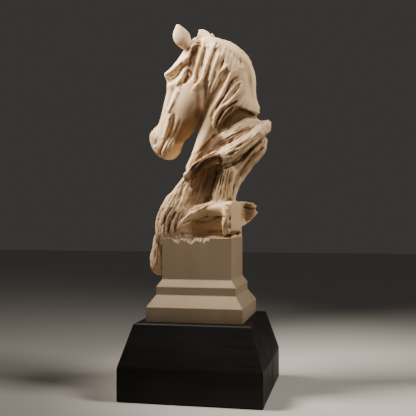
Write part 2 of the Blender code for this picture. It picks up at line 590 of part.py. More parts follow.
def carving(group):
    """The horse, the mane and the rough lower carving, fused, then brought down to few faces."""
    body, throat = head(), neck()
    trunk_points, trunk_faces = gathered([body, throat])
    trunk = BVHTree.FromPolygons([Vector(p) for p in trunk_points], trunk_faces)
    rough = [throat, mane(trunk, 1.0), mane(trunk, -1.0), mane_crest()] + lower_shapes()
    fine = [body, flap()] + [ear(*values) for values in EARS]
    place = np.array(figure_place())
    rough, fine = (
        [(p @ place[:3, :3].T + place[:3, 3], f) for p, f in shells] for shells in (rough, fine)
    )
    voxel = VOXEL_SHARE * FIGURE_HEIGHT
    cleft = CLEFT_SHARE * FIGURE_HEIGHT
    wood_mass = mesh_object("wood_mass", *gathered(rough + [hanging_lock(), broken_bed()]), group)
    # Out and in again by the same distance fills the clefts that a gouge couldn't reach
    fuse(wood_mass, voxel)
    offset(wood_mass, cleft)
    fuse(wood_mass, voxel)
    offset(wood_mass, -cleft)
    wood_mass.hide_render = True
    wood_mass.display_type = "WIRE"
    closed = evaluated_mesh(wood_mass)
    closed_points = [tuple(v.co) for v in closed.vertices]
    closed_faces = [tuple(f.vertices) for f in closed.polygons]
    made = mesh_object(
        "carving", *gathered([(np.array(closed_points), closed_faces), standing_wall()] + fine), group
    )
    fuse(made, voxel)
    ease = made.modifiers.new("ease", "SMOOTH")
    ease.factor = 0.5
    ease.iterations = 2
    dense = evaluated_mesh(made)
    dense.calc_loop_triangles()
    thin = made.modifiers.new("thin", "DECIMATE")
    thin.ratio = min(1.0, CARVING_TRIANGLES / len(dense.loop_triangles))
    thin.use_collapse_triangulate = True
    return made


def square_rings(name, rings, group):
    """A square solid turned in four steps from (width, height) pairs, top to bottom."""
    profile = bpy.data.meshes.new(name)
    corner = [(width / math.sqrt(2.0), 0.0, z) for width, z in rings]
    points = [(0.0, 0.0, rings[0][1])] + corner + [(0.0, 0.0, rings[-1][1])]
    profile.from_pydata(points, [(i, i + 1) for i in range(len(points) - 1)], [])
    made = bpy.data.objects.new(name, profile)
    group.objects.link(made)
    made.rotation_euler.z = math.radians(45.0)
    turn = made.modifiers.new("turn", "SCREW")
    turn.steps = turn.render_steps = 4
    turn.use_merge_vertices = True
    turn.merge_threshold = 0.00005
    turn.use_smooth_shade = False
    return made


def plinth(group):
    """The moulded plinth and the square block over it."""
    z = [PLINTH_BOTTOM]
    for step in (FOOT_BAND_HEIGHT, FOOT_SLOPE_HEIGHT, FILLET_HEIGHT, NECK_SLOPE_HEIGHT, BLOCK_HEIGHT):
        z.append(z[-1] + step)
    widths = (FOOT_WIDTH, FOOT_WIDTH, FILLET_WIDTH, FILLET_WIDTH, BLOCK_WIDTH, BLOCK_WIDTH)
    return square_rings("carved_horse_and_plinth", list(zip(widths, z))[::-1], group)


# Broken front edge of the block's top: share along the edge, height of the break there
BREAK_EDGE = (
    (-0.50, 0.8), (-0.38, 0.2), (-0.26, -5.6), (-0.22, -2.4), (-0.15, -3.2), (-0.075, -6.0), (-0.03, -2.2),
    (0.04, -3.0), (0.10, -4.4), (0.24, 0.6), (0.50, 0.8),
)
BREAK_RISE = math.radians(34.0)
BREAK_LEAD = 0.006
BREAK_REACH = 0.026


def break_cutter(group):
    """What broke away along the front of the block's top: a jagged edge carried back and up."""
    half = BLOCK_WIDTH / 2
    width = 1.02 * BLOCK_WIDTH
    lower = [(x * width, z * UNIT * math.cos(BREAK_RISE), 0.0) for x, z in BREAK_EDGE]
    upper = [(lower[-1][0], BREAK_REACH, 0.0), (lower[0][0], BREAK_REACH, 0.0)]
    cutter = mesh_object("broken_edge", lower + upper, [tuple(range(len(lower) + 2))], group)
    thick = cutter.modifiers.new("depth", "SOLIDIFY")
    thick.thickness = BREAK_REACH
    thick.offset = -1.0
    run = Vector((0.0, math.cos(BREAK_RISE), math.sin(BREAK_RISE)))
    cutter.matrix_world = Matrix.Translation(Vector((0.0, -half, BLOCK_TOP)) - run * BREAK_LEAD) @ \
        Matrix.Rotation(math.radians(90.0) + BREAK_RISE, 4, "X")
    return cutter


def dark_base(group):
    """The base: an upright band and four slopes up to a flat top."""
    rings = ((BASE_TOP_WIDTH, BASE_HEIGHT), (BASE_WIDTH, BASE_BAND_HEIGHT), (BASE_WIDTH, 0.0))
    made = square_rings("dark_base", rings, group)
    soften = made.modifiers.new("soften", "BEVEL")
    soften.width = BASE_EDGE_RADIUS
    soften.segments = 2
    return made


def join(target, other, operation="UNION"):
    """A Boolean of one object with another, which stays as a guide."""
    cut = target.modifiers.new(operation.lower(), "BOOLEAN")
    cut.operation = operation
    cut.object = other
    cut.solver = "EXACT"
    other.hide_render = True
    other.display_type = "WIRE"


def main():
    clear_scene()
    parts = collection("horse_head_sculpture")
    guides = collection("guides")
    base = dark_base(parts)
    body = plinth(parts)
    join(body, break_cutter(guides), "DIFFERENCE")
    join(body, carving(guides))
    base.data.materials.append(wood("ebonised_wood", (0.012, 0.011, 0.012), 0.55))
    body.data.materials.append(wood("pale_boxwood", (0.70, 0.55, 0.37), 0.5))


main()
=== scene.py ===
# %% [markdown]
# # A horse head carved in pale wood
# The real thing is one block of pale, close-grained wood. A carver has cut the plinth at its foot clean and
# square, and has let the horse's head, mane and chest grow out of the torn upper half of the block. It stands
# on a separate base of black-stained wood.
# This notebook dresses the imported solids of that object. They come in as a fixed frame, in metres, and every
# surface made here stays in their box.

# %% The frame
import math

import bmesh
import bpy
import numpy as np
from mathutils import Matrix, Vector


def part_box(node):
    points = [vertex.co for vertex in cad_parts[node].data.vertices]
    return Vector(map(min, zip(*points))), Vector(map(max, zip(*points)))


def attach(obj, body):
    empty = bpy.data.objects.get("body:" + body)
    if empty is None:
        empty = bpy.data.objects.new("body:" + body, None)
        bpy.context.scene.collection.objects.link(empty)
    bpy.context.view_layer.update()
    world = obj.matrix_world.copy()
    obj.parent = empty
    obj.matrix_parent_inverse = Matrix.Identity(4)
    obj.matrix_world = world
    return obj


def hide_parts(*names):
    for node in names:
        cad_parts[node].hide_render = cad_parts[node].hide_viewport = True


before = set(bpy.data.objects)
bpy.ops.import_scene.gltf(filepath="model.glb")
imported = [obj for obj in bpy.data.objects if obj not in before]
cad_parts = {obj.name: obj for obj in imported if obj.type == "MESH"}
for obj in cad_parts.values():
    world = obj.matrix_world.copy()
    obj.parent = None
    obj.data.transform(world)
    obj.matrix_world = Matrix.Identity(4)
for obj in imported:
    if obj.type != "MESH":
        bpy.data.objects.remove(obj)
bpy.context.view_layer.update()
base_low, base_high = (np.array(corner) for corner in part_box("dark_base"))
carved_low, carved_high = (np.array(corner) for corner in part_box("carved_horse_and_plinth"))
print("base", base_low.round(4), base_high.round(4))
print("carving", carved_low.round(4), carved_high.round(4))

# %% [markdown]
# The plinth's sizes are the ones that the solids have. Its foot starts where the node's box starts, and the
# block's flat top is found by adding the mouldings up. The figure has a frame of its own: its origin is the
# middle of the block's top, it is turned towards the camera, and it counts millimetres right, away and up.

# %% Sizes
BASE_BAND_HEIGHT = 0.034
BASE_TOP_WIDTH = 0.120
FOOT_WIDTH = 0.100
FOOT_BAND_HEIGHT = 0.015
FOOT_SLOPE_HEIGHT = 0.012
FILLET_WIDTH = 0.083
FILLET_HEIGHT = 0.0083
NECK_SLOPE_HEIGHT = 0.0074
BLOCK_WIDTH = 0.073
BLOCK_HEIGHT = 0.043
BASE_WIDTH = float(base_high[0] - base_low[0])
BASE_HEIGHT = float(base_high[2])
PLINTH_BOTTOM = float(carved_low[2])
BLOCK_BOTTOM = PLINTH_BOTTOM + FOOT_BAND_HEIGHT + FOOT_SLOPE_HEIGHT + FILLET_HEIGHT + NECK_SLOPE_HEIGHT
BLOCK_TOP = BLOCK_BOTTOM + BLOCK_HEIGHT
FIGURE_TURN = math.radians(11.6)
MM = 0.001
TURN = np.array(Matrix.Rotation(FIGURE_TURN, 3, "Z"))
print("block top at", round(BLOCK_TOP, 4))


def in_object(points):
    """From the figure's frame, in millimetres, to the object's, in metres."""
    return points * MM @ TURN.T + (0.0, 0.0, BLOCK_TOP)


def in_figure(points):
    """From the object's frame, in metres, to the figure's, in millimetres."""
    return (points - (0.0, 0.0, BLOCK_TOP)) @ TURN / MM


# %% [markdown]
# The camera comes early, because parts of the relief are drawn where the photograph shows them. It was found
# by matching the corners of the plinth and the base. A point's place in the photograph is then its place in
# front of the camera divided by its distance, times the focal length.

# %% Camera
PHOTO_SIZE = 416
FOCAL_PX = 700.0
SENSOR_MM = 36.0
CAMERA_AT = np.array([0.15651, -0.74119, 0.18339])
CAMERA_YAW = math.radians(11.58)
CAMERA_PITCH = math.radians(0.84)

camera_forward = np.array([
    -math.sin(CAMERA_YAW) * math.cos(CAMERA_PITCH),
    math.cos(CAMERA_YAW) * math.cos(CAMERA_PITCH),
    math.sin(CAMERA_PITCH),
])
camera_right = np.array([math.cos(CAMERA_YAW), math.sin(CAMERA_YAW), 0.0])
camera_up = np.cross(camera_right, camera_forward)
camera_data = bpy.data.cameras.new("camera")
camera_data.sensor_width = SENSOR_MM
camera_data.lens = FOCAL_PX / PHOTO_SIZE * SENSOR_MM
camera = bpy.data.objects.new("camera", camera_data)
bpy.context.scene.collection.objects.link(camera)
aim = Vector(camera_forward).to_track_quat("-Z", "Y")
camera.matrix_world = Matrix.Translation(CAMERA_AT) @ aim.to_matrix().to_4x4()
bpy.context.scene.camera = camera
print("lens", round(camera_data.lens, 2), "mm")


def in_photo(points):
    """Where points of the object's frame fall in the photograph, in its pixels: right and down."""
    seen = points - CAMERA_AT
    deep = seen @ camera_forward
    across = PHOTO_SIZE / 2 + FOCAL_PX * (seen @ camera_right) / deep
    down = PHOTO_SIZE / 2 - FOCAL_PX * (seen @ camera_up) / deep
    return np.stack([across, down], axis=-1)


# %% [markdown]
# A carved form is a skin over a row of rings. The helpers below carry a few named sections along a smooth
# curve, close the rings into a shell, and sweep an ellipse along a path. Each shell also remembers how its
# wood fibres run: how far each point is across them and along them. The finer carving follows these numbers.

# %% Smooth rows and shells
def smooth_rows(rows, count):
    """Rows on a smooth curve: a cubic between each pair whose slopes come from the neighbours."""
    rows = np.asarray(rows, float)
    steps = np.linalg.norm(np.diff(rows[:, :3], axis=0), axis=1)
    knots = np.concatenate([[0.0], np.cumsum(steps)])
    slopes = np.gradient(rows, knots, axis=0)
    t = np.linspace(0.0, knots[-1], count)
    k = np.clip(np.searchsorted(knots, t, side="right") - 1, 0, len(knots) - 2)
    span = (knots[k + 1] - knots[k])[:, None]
    x = (t - knots[k])[:, None] / span
    start = (2 * x**3 - 3 * x**2 + 1) * rows[k] + (x**3 - 2 * x**2 + x) * span * slopes[k]
    end = (3 * x**2 - 2 * x**3) * rows[k + 1] + (x**3 - x**2) * span * slopes[k + 1]
    return start + end


def unit_rows(vectors):
    """Each row scaled to length one."""
    return vectors / np.maximum(np.linalg.norm(vectors, axis=-1, keepdims=True), 1e-9)


def skin(rings, fibre):
    """A closed shell through rings of points, ended at a pole, with the fibre numbers of each point."""
    count, sides, _ = rings.shape
    points = np.concatenate([rings.reshape(-1, 3), rings[:1].mean(axis=1), rings[-1:].mean(axis=1)])
    numbers = np.concatenate([fibre.reshape(-1, 4), fibre[:1].mean(axis=1), fibre[-1:].mean(axis=1)])
    i = np.arange(sides)
    j = (i + 1) % sides
    low = (np.arange(count - 1) * sides)[:, None]
    quads = np.stack([low + i, low + j, low + sides + j, low + sides + i], axis=-1).reshape(-1, 4)
    first, last = count * sides, count * sides + 1
    top = (count - 1) * sides
    foot = np.stack([np.full(sides, first), j, i], axis=-1)
    head_end = np.stack([np.full(sides, last), top + i, top + j], axis=-1)
    return points, numbers, quads.tolist() + foot.tolist() + head_end.tolist()


def lengths(path):
    """How far along a path each of its points is."""
    return np.concatenate([[0.0], np.cumsum(np.linalg.norm(np.diff(path, axis=0), axis=1))])


# How the fibre of a shell is cut: polished, combed hair, torn wood
POLISHED, COMBED, TORN = 0.0, 1.0, 2.0


def sweep(path, facing, half_width, half_depth, cut, bow=0.0, ridge=0.0, sides=48):
    """An ellipse carried along a path: bow bends its sides back, ridge sharpens the side that faces out."""
    along = unit_rows(np.gradient(path, axis=0))
    facing = np.broadcast_to(np.asarray(facing, float), path.shape)
    out = unit_rows(facing - (facing * along).sum(axis=1, keepdims=True) * along)
    across = np.cross(along, out)
    angle = np.linspace(0.0, 2.0 * math.pi, sides, endpoint=False)
    x, y = np.cos(angle), np.sin(angle)
    y = np.where(y > 0, y * (1.0 - ridge * np.abs(x)), y)
    wide = np.asarray(half_width, float)[:, None, None]
    deep = np.asarray(half_depth, float)[:, None, None]
    rings = path[:, None] + across[:, None] * wide * x[None, :, None]
    rings = rings + out[:, None] * (deep * y[None, :, None] - bow * wide * (x**2)[None, :, None])
    shape = rings.shape[:2]
    fibre = np.empty(shape + (4,))
    fibre[..., 0] = np.broadcast_to(wide[..., 0].max() * x[None], shape)
    fibre[..., 1] = np.broadcast_to(lengths(path)[:, None], shape)
    fibre[..., 2] = cut
    fibre[..., 3] = 0.0
    return skin(rings, fibre)


def near_line(points, line, width):
    """How close 2-D points are to a line through a few points: 1 on it, fading to 0 past its width."""
    line = np.asarray(line, float)
    best = np.full(len(points), np.inf)
    for a, b in zip(line[:-1], line[1:]):
        along = np.clip(((points - a) @ (b - a)) / ((b - a) @ (b - a)), 0.0, 1.0)
        best = np.minimum(best, np.linalg.norm(points - a - along[:, None] * (b - a), axis=1))
    return np.exp(-((best / width) ** 2))


# %% [markdown]
# The head is one loft down the face, from the poll between the ears to the lips. Each section names its front
# line, its jaw line, its widest place and how square it is, the way a carver would mark a block with
# stations. Brow, cheek, nostril and mouth are dabs and lines raised or sunk on its two sides.

# %% The head's own frame
POLL = np.array([-12.0, 3.0, 206.0])
HEAD_TURN = math.radians(33.0)
HEAD_NOD = math.radians(23.0)
HEADING = np.array([-math.cos(HEAD_TURN), math.sin(HEAD_TURN), 0.0])
UP = np.array([0.0, 0.0, 1.0])
HEAD_ALONG = HEADING * math.sin(HEAD_NOD) - UP * math.cos(HEAD_NOD)
HEAD_FORWARD = HEADING * math.cos(HEAD_NOD) + UP * math.sin(HEAD_NOD)
HEAD_LEFT = np.array([-math.sin(HEAD_TURN), -math.cos(HEAD_TURN), 0.0])


def in_head(along, forward, left):
    """Points of the head's frame in the figure's frame."""
    along, forward, left = (np.asarray(v, float)[..., None] for v in (along, forward, left))
    return POLL + along * HEAD_ALONG + forward * HEAD_FORWARD + left * HEAD_LEFT


# %% The head
# Along the face, front line, widest place, jaw line, half width, front and jaw squareness
HEAD_SECTIONS = (
    (-9.0, 1.0, -4.0, -12.0, 6.0, 2.0, 2.0),
    (-4.0, 4.0, -4.0, -17.0, 10.5, 2.0, 2.0),
    (6.0, 6.0, -3.0, -24.0, 13.0, 2.2, 2.0),
    (16.0, 7.5, -2.0, -30.0, 15.5, 2.5, 2.1),
    (27.0, 11.0, 0.0, -36.0, 17.5, 2.9, 2.2),
    (37.0, 13.5, -2.0, -39.5, 19.0, 2.8, 2.3),
    (46.0, 11.5, -8.0, -41.0, 19.0, 2.3, 2.5),
    (54.0, 10.5, -12.0, -41.5, 18.5, 2.1, 2.6),
    (64.0, 10.5, -14.0, -41.0, 17.5, 2.0, 2.6),
    (74.0, 10.0, -13.0, -38.5, 15.8, 1.9, 2.5),
    (84.0, 9.5, -11.0, -35.5, 13.6, 1.9, 2.3),
    (92.0, 10.0, -9.0, -31.5, 12.3, 2.0, 2.1),
    (99.0, 14.0, -7.0, -28.0, 12.2, 2.2, 2.0),
    (105.0, 15.5, -6.0, -27.0, 13.0, 2.3, 2.1),
    (112.0, 12.5, -6.0, -26.5, 13.0, 2.3, 2.2),
    (117.5, 7.5, -7.0, -24.5, 11.5, 2.2, 2.2),
    (122.0, 1.5, -8.0, -20.5, 9.0, 2.1, 2.1),
    (124.8, -4.5, -10.0, -15.0, 4.5, 2.0, 2.0),
)
# Along, forward, radius, height
HEAD_DABS = (
    (37.0, 12.0, 5.5, 2.6),
    (57.0, -22.0, 15.0, 1.6),
    (104.0, 4.0, 5.0, 1.8),
    (121.0, -19.0, 5.0, 1.4),
    (98.0, -19.0, 6.0, -1.5),
)
# Places along and forward, width, height
HEAD_LINES = (
    (((20.0, -8.0), (29.0, -6.5), (36.0, -4.0), (42.0, 3.5)), 2.8, -3.6),
    (((11.0, -8.0), (21.0, -2.0), (30.0, 3.0), (37.0, 11.0)), 3.4, 2.4),
    (((34.0, -12.0), (42.0, -6.0), (48.0, 4.0)), 3.4, 1.4),
    (((48.0, -14.0), (60.0, -13.0), (72.0, -9.0)), 2.4, 1.8),
    (((50.0, -7.0), (64.0, -4.0), (76.0, -2.0)), 2.8, -1.4),
    (((74.0, -17.0), (86.0, -16.0), (97.0, -14.0)), 2.0, -1.8),
    (((78.0, -12.0), (90.0, -11.0), (102.0, -9.0)), 1.8, 1.2),
    (((103.0, 5.0), (109.0, 3.5), (113.0, 1.0), (110.0, -1.0)), 2.0, -3.8),
    (((103.0, -14.0), (112.0, -12.5), (120.0, -10.5), (127.0, -9.5)), 1.5, -3.6),
    (((106.0, -18.0), (114.0, -16.0)), 1.8, 1.2),
)


def head(rings=200, sides=160):
    """A loft down the face. Each section is a superellipse, wider or squarer in front than at the jaw."""
    rows = smooth_rows(np.array(HEAD_SECTIONS)[:, [0, 1, 3, 2, 4, 5, 6]], rings)
    along, front, jaw, widest, half, front_square, jaw_square = (rows[:, k, None] for k in range(7))
    angle = np.linspace(0.0, 2.0 * math.pi, sides, endpoint=False)[None]
    c, s = np.cos(angle), np.sin(angle)
    square = np.where(c > 0, front_square, jaw_square)
    reach = np.where(c > 0, front - widest, widest - jaw)
    forward = widest + reach * np.sign(c) * np.abs(c) ** (2 / square)
    side = half * np.sign(s) * np.abs(s) ** (2 / square)
    along = np.broadcast_to(along, forward.shape)
    flank = np.clip(np.abs(side) / half, 0.0, 1.0) ** 1.2
    plan = np.stack([along.ravel(), forward.ravel()], axis=1)
    rise = np.zeros(len(plan))
    for a, f, radius, height in HEAD_DABS:
        rise += height * np.exp(-(((plan[:, 0] - a) ** 2 + (plan[:, 1] - f) ** 2) / radius**2))
    for line, width, height in HEAD_LINES:
        rise += height * near_line(plan, line, width)
    rise = rise.reshape(forward.shape) * flank
    spread = unit_rows(np.stack([forward - widest, side], axis=-1))
    rings = in_head(along, forward + rise * spread[..., 0], side + rise * spread[..., 1])
    fibre = np.zeros(forward.shape + (4,))
    fibre[..., 0] = forward
    fibre[..., 1] = along
    fibre[..., 2] = POLISHED
    return skin(rings, fibre)


head_shell = head()
print("head", len(head_shell[0]), "points")

# %% [markdown]
# The neck and chest are a second loft, of ovals between a crest line and a throat line. It carries the hollow
# under the mane, the bare furrow down the throat and the deep hollow in the chest. The side that isn't shown
# in the photograph has the same form, only shallower.

# %% The neck and chest
# Crest (right, up), throat (right, up), half the depth
NECK_SECTIONS = (
    (-7.0, 214.0, -14.0, 206.0, 5.0),
    (6.0, 216.5, -12.0, 192.0, 10.0),
    (17.5, 213.0, -9.0, 178.0, 13.5),
    (28.0, 205.0, -5.0, 164.0, 16.0),
    (37.0, 197.5, -3.0, 153.0, 17.0),
    (46.0, 188.0, -2.0, 144.0, 17.5),
    (51.5, 176.0, -2.0, 136.0, 17.5),
    (53.0, 162.0, -2.0, 128.0, 17.5),
    (54.5, 147.0, -4.0, 120.5, 17.0),
    (57.0, 132.0, -5.5, 114.0, 16.5),
    (57.0, 118.0, -8.0, 106.0, 16.5),
    (53.0, 104.0, -11.0, 96.0, 17.0),
    (48.0, 90.0, -15.0, 86.0, 17.5),
    (44.0, 77.0, -19.0, 77.0, 18.5),
    (37.0, 62.0, -20.0, 67.0, 19.5),
    (33.0, 50.0, -24.0, 56.0, 21.0),
    (31.0, 38.0, -32.0, 43.0, 23.0),
    (30.0, 25.0, -40.0, 31.0, 25.0),
    (30.0, 12.0, -45.0, 16.0, 26.0),
    (30.0, -6.0, -44.0, -6.0, 26.0),
)
# Right, up, radius, height
NECK_DABS = (
    (40.0, 127.0, 13.0, -8.0),
    (24.0, 118.0, 10.0, -7.0),
    (10.0, 66.0, 10.0, -6.0),
    (0.0, 12.0, 13.0, -11.0),
    (17.0, 12.0, 10.0, -9.0),
)
# Places (right, up), width, height
NECK_LINES = (
    (((12.0, 112.0), (4.0, 98.0), (-6.0, 82.0), (-17.0, 70.0)), 5.5, -5.0),
    (((-2.0, 124.0), (-4.0, 106.0), (-12.0, 88.0)), 4.0, 1.5),
    (((16.0, 80.0), (4.0, 66.0), (-6.0, 52.0), (-13.0, 38.0)), 10.0, -11.0),
    (((16.0, 68.0), (7.0, 53.0), (3.0, 41.0)), 6.5, -8.0),
)
FAR_RELIEF = 0.35
TORN_BELOW = 92.0


def neck(rings=220, sides=170):
    """A loft of ovals from crest to throat, its flanks sunk and raised where the tables say."""
    rows = smooth_rows(NECK_SECTIONS, rings)
    crest, throat, depth = rows[:, None, 0:2], rows[:, None, 2:4], rows[:, 4, None]
    angle = np.linspace(0.0, 2.0 * math.pi, sides, endpoint=False)[None]
    c, s = np.cos(angle), np.sin(angle)
    share = 0.5 + 0.5 * np.sign(c) * np.abs(c) ** 0.85
    seen = throat + (crest - throat) * share[..., None]
    plan = seen.reshape(-1, 2)
    rise = np.zeros(len(plan))
    for u, v, radius, height in NECK_DABS:
        rise += height * np.exp(-(((plan[:, 0] - u) ** 2 + (plan[:, 1] - v) ** 2) / radius**2))
    for line, width, height in NECK_LINES:
        rise += height * near_line(plan, line, width)
    relief = rise.reshape(rings, sides) * np.where(s < 0, 1.0, FAR_RELIEF)
    away = (depth * np.abs(s) ** 0.9 + relief * s**2) * np.sign(s)
    along = lengths(0.5 * (crest + throat)[:, 0])
    width = np.linalg.norm(crest - throat, axis=-1)
    fibre = np.zeros((rings, sides, 4))
    fibre[..., 0] = share * width
    fibre[..., 1] = along[:, None]
    fibre[..., 2] = np.where(seen[..., 1] < TORN_BELOW, TORN, POLISHED)
    return skin(np.stack([seen[..., 0], away, seen[..., 1]], axis=-1), fibre)


neck_shell = neck()
print("neck", len(neck_shell[0]), "points")

# %% [markdown]
# An ear is a pointed leaf, cupped forward, so one swept ellipse with a bend across it is enough. The two
# small tufts between the ears are made the same way.

# %% Ears and tufts
# Root, middle and tip (right, away, up), the way the back faces, size
EARS = (
    (((-17.0, -6.0, 205.0), (-23.0, -9.0, 214.5), (-28.5, -8.0, 229.2)), (0.1, -1.0, 0.1), 1.0),
    (((2.0, 13.0, 204.0), (2.0, 14.0, 216.0), (-4.5, 13.0, 230.0)), (0.5, 0.85, 0.1), 1.05),
    (((8.0, 8.0, 208.0), (9.5, 9.0, 216.0), (9.0, 9.0, 224.0)), (0.4, -0.9, 0.1), 0.55),
    (((-10.0, 2.0, 206.0), (-8.0, 3.0, 212.0), (-6.0, 4.0, 219.0)), (0.4, -0.9, 0.1), 0.6),
)
EAR_SHARES = (0, 0.2, 0.35, 0.55, 0.75, 0.9, 1)
EAR_WIDTHS = (5.5, 8.0, 9.3, 9.3, 6.8, 3.2, 0.6)
EAR_THICK_SHARES = (0, 0.3, 0.8, 1)
EAR_THICKNESSES = (4.5, 3.4, 1.9, 0.6)
EAR_CUP = 0.25


def ear(places, facing, size, count=60):
    """A leaf: its half width swells and closes along the path, its thickness thins towards the tip."""
    path = smooth_rows(places, count)
    t = np.linspace(0.0, 1.0, count)
    leaf = np.interp(t, EAR_SHARES, EAR_WIDTHS) * size
    thick = np.interp(t, EAR_THICK_SHARES, EAR_THICKNESSES) * size
    return sweep(path, facing, leaf, thick, POLISHED, bow=EAR_CUP)


ear_shells = [ear(*values) for values in EARS]
print(len(ear_shells), "ears and tufts")

# %% [markdown]
# The mane could be a hundred separate strands, but the carver cut it from one mass: a few named locks with
# troughs between them, and fine strands over all. So it is a sheet carried from lock to lock. Each lock is a
# line drawn as it is seen and then laid on the head and neck. Between two lines the sheet dips.

# %% Laying a seen line on the trunk
from mathutils.bvhtree import BVHTree

trunk_points = np.concatenate([head_shell[0], neck_shell[0]])
trunk_faces = head_shell[2] + [[i + len(head_shell[0]) for i in face] for face in neck_shell[2]]
trunk = BVHTree.FromPolygons([Vector(p) for p in trunk_points], trunk_faces)


def lay(points, side, count):
    """A line of (right, up) places, dropped on the trunk from the near side (1) or the far side (-1)."""
    flat = smooth_rows([(u, v, 0.0) for u, v in points], count)
    away = np.empty(count)
    for i, (u, v, _) in enumerate(flat):
        hit = trunk.ray_cast(Vector((u, -side * 200.0, v)), Vector((0.0, side, 0.0)))[0]
        away[i] = (hit or trunk.find_nearest(Vector((u, -side * 12.0, v)))[0]).y
    reach = max(3, count // 12)
    kernel = np.ones(2 * reach + 1) / (2 * reach + 1)
    smooth = np.convolve(np.pad(away, reach, mode="edge"), kernel, mode="valid")
    return np.stack([flat[:, 0], smooth, flat[:, 1]], axis=1)


print("trunk has", len(trunk_faces), "faces")

# %% The mane's sheet
# Root to tip (right, up), lift of the tip, depth of the trough behind the lock, share where it begins
MANE_LOCKS = (
    (((-12, 211), (-15, 198), (-17, 184), (-19, 171), (-27, 156)), 1.5, 9.0, 0.1),
    (((0, 214), (-2, 203), (-5, 190), (-7, 178), (-12, 166)), 2.0, 4.0, 0.0),
    (((9, 215), (8, 203), (3, 187), (0, 173), (-12, 153)), 4.0, 8.5, 0.15),
    (((18, 213), (17, 200), (11, 181), (5, 162), (0, 131)), 2.0, 3.0, 0.2),
    (((26, 209), (25, 196), (17, 176), (9, 158), (2, 139)), 2.0, 6.5, 0.4),
    (((35, 203), (35, 189), (27, 168), (15, 147), (8, 124)), 3.0, 2.5, 0.3),
    (((42, 197), (42, 180), (33, 161), (21, 145), (10, 119)), 4.5, 3.0, 0.3),
    (((47, 191), (47, 176), (39, 158), (27, 144), (13, 117)), 7.0, 0.0, 0.0),
    (((50, 184), (50, 169), (46, 154), (42, 146), (37, 139)), 7.5, 0.0, 0.0),
    (((52, 176), (52, 162), (51, 149), (49.5, 141), (47, 134)), 7.0, 0.0, 0.0),
    (((53, 169), (54, 157), (56.5, 146), (59, 138), (60.5, 132)), 2.0, 0.0, 0.0),
)
MANE_ROOT_SUNK = 1.5
MANE_BODY = 3.0
MANE_THICKNESS = 4.5
TROUGH_FLATNESS = 0.5
FAR_SHIFT = 16.0
HEM_SCALLOP = 0.16
SCALLOPED_TROUGH = 6.0
# What the strands take for the distance between two locks and for a lock's length, in millimetres
LOCK_SPACING = 8.0
LOCK_LENGTH = 80.0


def slab(front, back, fibre):
    """A closed shell between two grids of points, walled along all four edges."""
    m, n, _ = front.shape
    grid = np.arange(m * n).reshape(m, n)
    cells = np.stack([grid[:-1, :-1], grid[1:, :-1], grid[1:, 1:], grid[:-1, 1:]], axis=-1).reshape(-1, 4)
    edge = np.concatenate([grid[:, 0], grid[-1, 1:], grid[-2::-1, -1], grid[0, -2:0:-1]])
    follow = np.roll(edge, -1)
    wall = np.stack([follow, edge, edge + m * n, follow + m * n], axis=-1)
    faces = np.concatenate([cells, cells[:, ::-1] + m * n, wall])
    points = np.concatenate([front.reshape(-1, 3), back.reshape(-1, 3)])
    numbers = np.concatenate([fibre.reshape(-1, 4)] * 2)
    return points, numbers, faces.tolist()


def mane(side, columns=16, rows=110):
    """A sheet blended from each lock's line to the next, lifted on the lines and sunk half way between."""
    far = side < 0
    count = len(MANE_LOCKS)
    laid = []
    for k, (places, *_) in enumerate(MANE_LOCKS):
        shift = FAR_SHIFT * (1.0 - k / (count - 1)) if far else 0.0
        laid.append(lay([(u + shift, v) for u, v in places], side, rows))
    tips, troughs, starts = (np.array([lock[n] for lock in MANE_LOCKS]) for n in (1, 2, 3))
    s = np.linspace(0.0, count - 1.0, (count - 1) * columns + 1)
    k = np.minimum(s.astype(int), count - 2)
    between = s - k
    blend = between[:, None, None] ** 2 * (3.0 - 2.0 * between[:, None, None])
    laid = np.array(laid)
    sheet = laid[k] * (1.0 - blend) + laid[k + 1] * blend
    dip = (0.5 * (1.0 - np.cos(2.0 * math.pi * between))) ** TROUGH_FLATNESS
    scallop = np.ones_like(dip) if far else np.minimum(1.0, troughs[k] / SCALLOPED_TROUGH)
    reach = 1.0 - HEM_SCALLOP * dip * scallop
    t = np.linspace(0.0, 1.0, rows)
    sheet = np.stack([
        np.stack([np.interp(t * r, t, column[:, axis]) for axis in range(3)], axis=-1)
        for r, column in zip(reach, sheet)
    ])
    tip = (tips[k] * (1.0 - between) + tips[k + 1] * between)[:, None]
    lift = MANE_BODY - (MANE_ROOT_SUNK + MANE_BODY) * (1.0 - np.clip(t[None] / 0.2, 0.0, 1.0)) ** 2
    lift = lift + (tip - MANE_BODY) * np.clip((t[None] - 0.35) / 0.65, 0.0, 1.0) ** 1.5
    opened = np.clip((t[None] - starts[k][:, None]) / 0.22, 0.0, 1.0)
    opened = opened**2 * (3.0 - 2.0 * opened) * (FAR_RELIEF if far else 1.0)
    lift = lift - (troughs[k] * dip)[:, None] * opened
    front, back = sheet.copy(), sheet.copy()
    front[..., 1] -= side * lift
    back[..., 1] -= side * (np.minimum(lift, tip) - MANE_THICKNESS)
    fibre = np.empty(lift.shape + (4,))
    fibre[..., 0] = (s * LOCK_SPACING)[:, None]
    fibre[..., 1] = (t * LOCK_LENGTH)[None]
    fibre[..., 2] = COMBED
    fibre[..., 3] = 0.0
    if far:
        front, back, fibre = front[::-1], back[::-1], fibre[::-1]
    return slab(front, back, fibre)


mane_shells = [mane(1.0), mane(-1.0)]
print("mane", sum(len(shell[0]) for shell in mane_shells), "points")

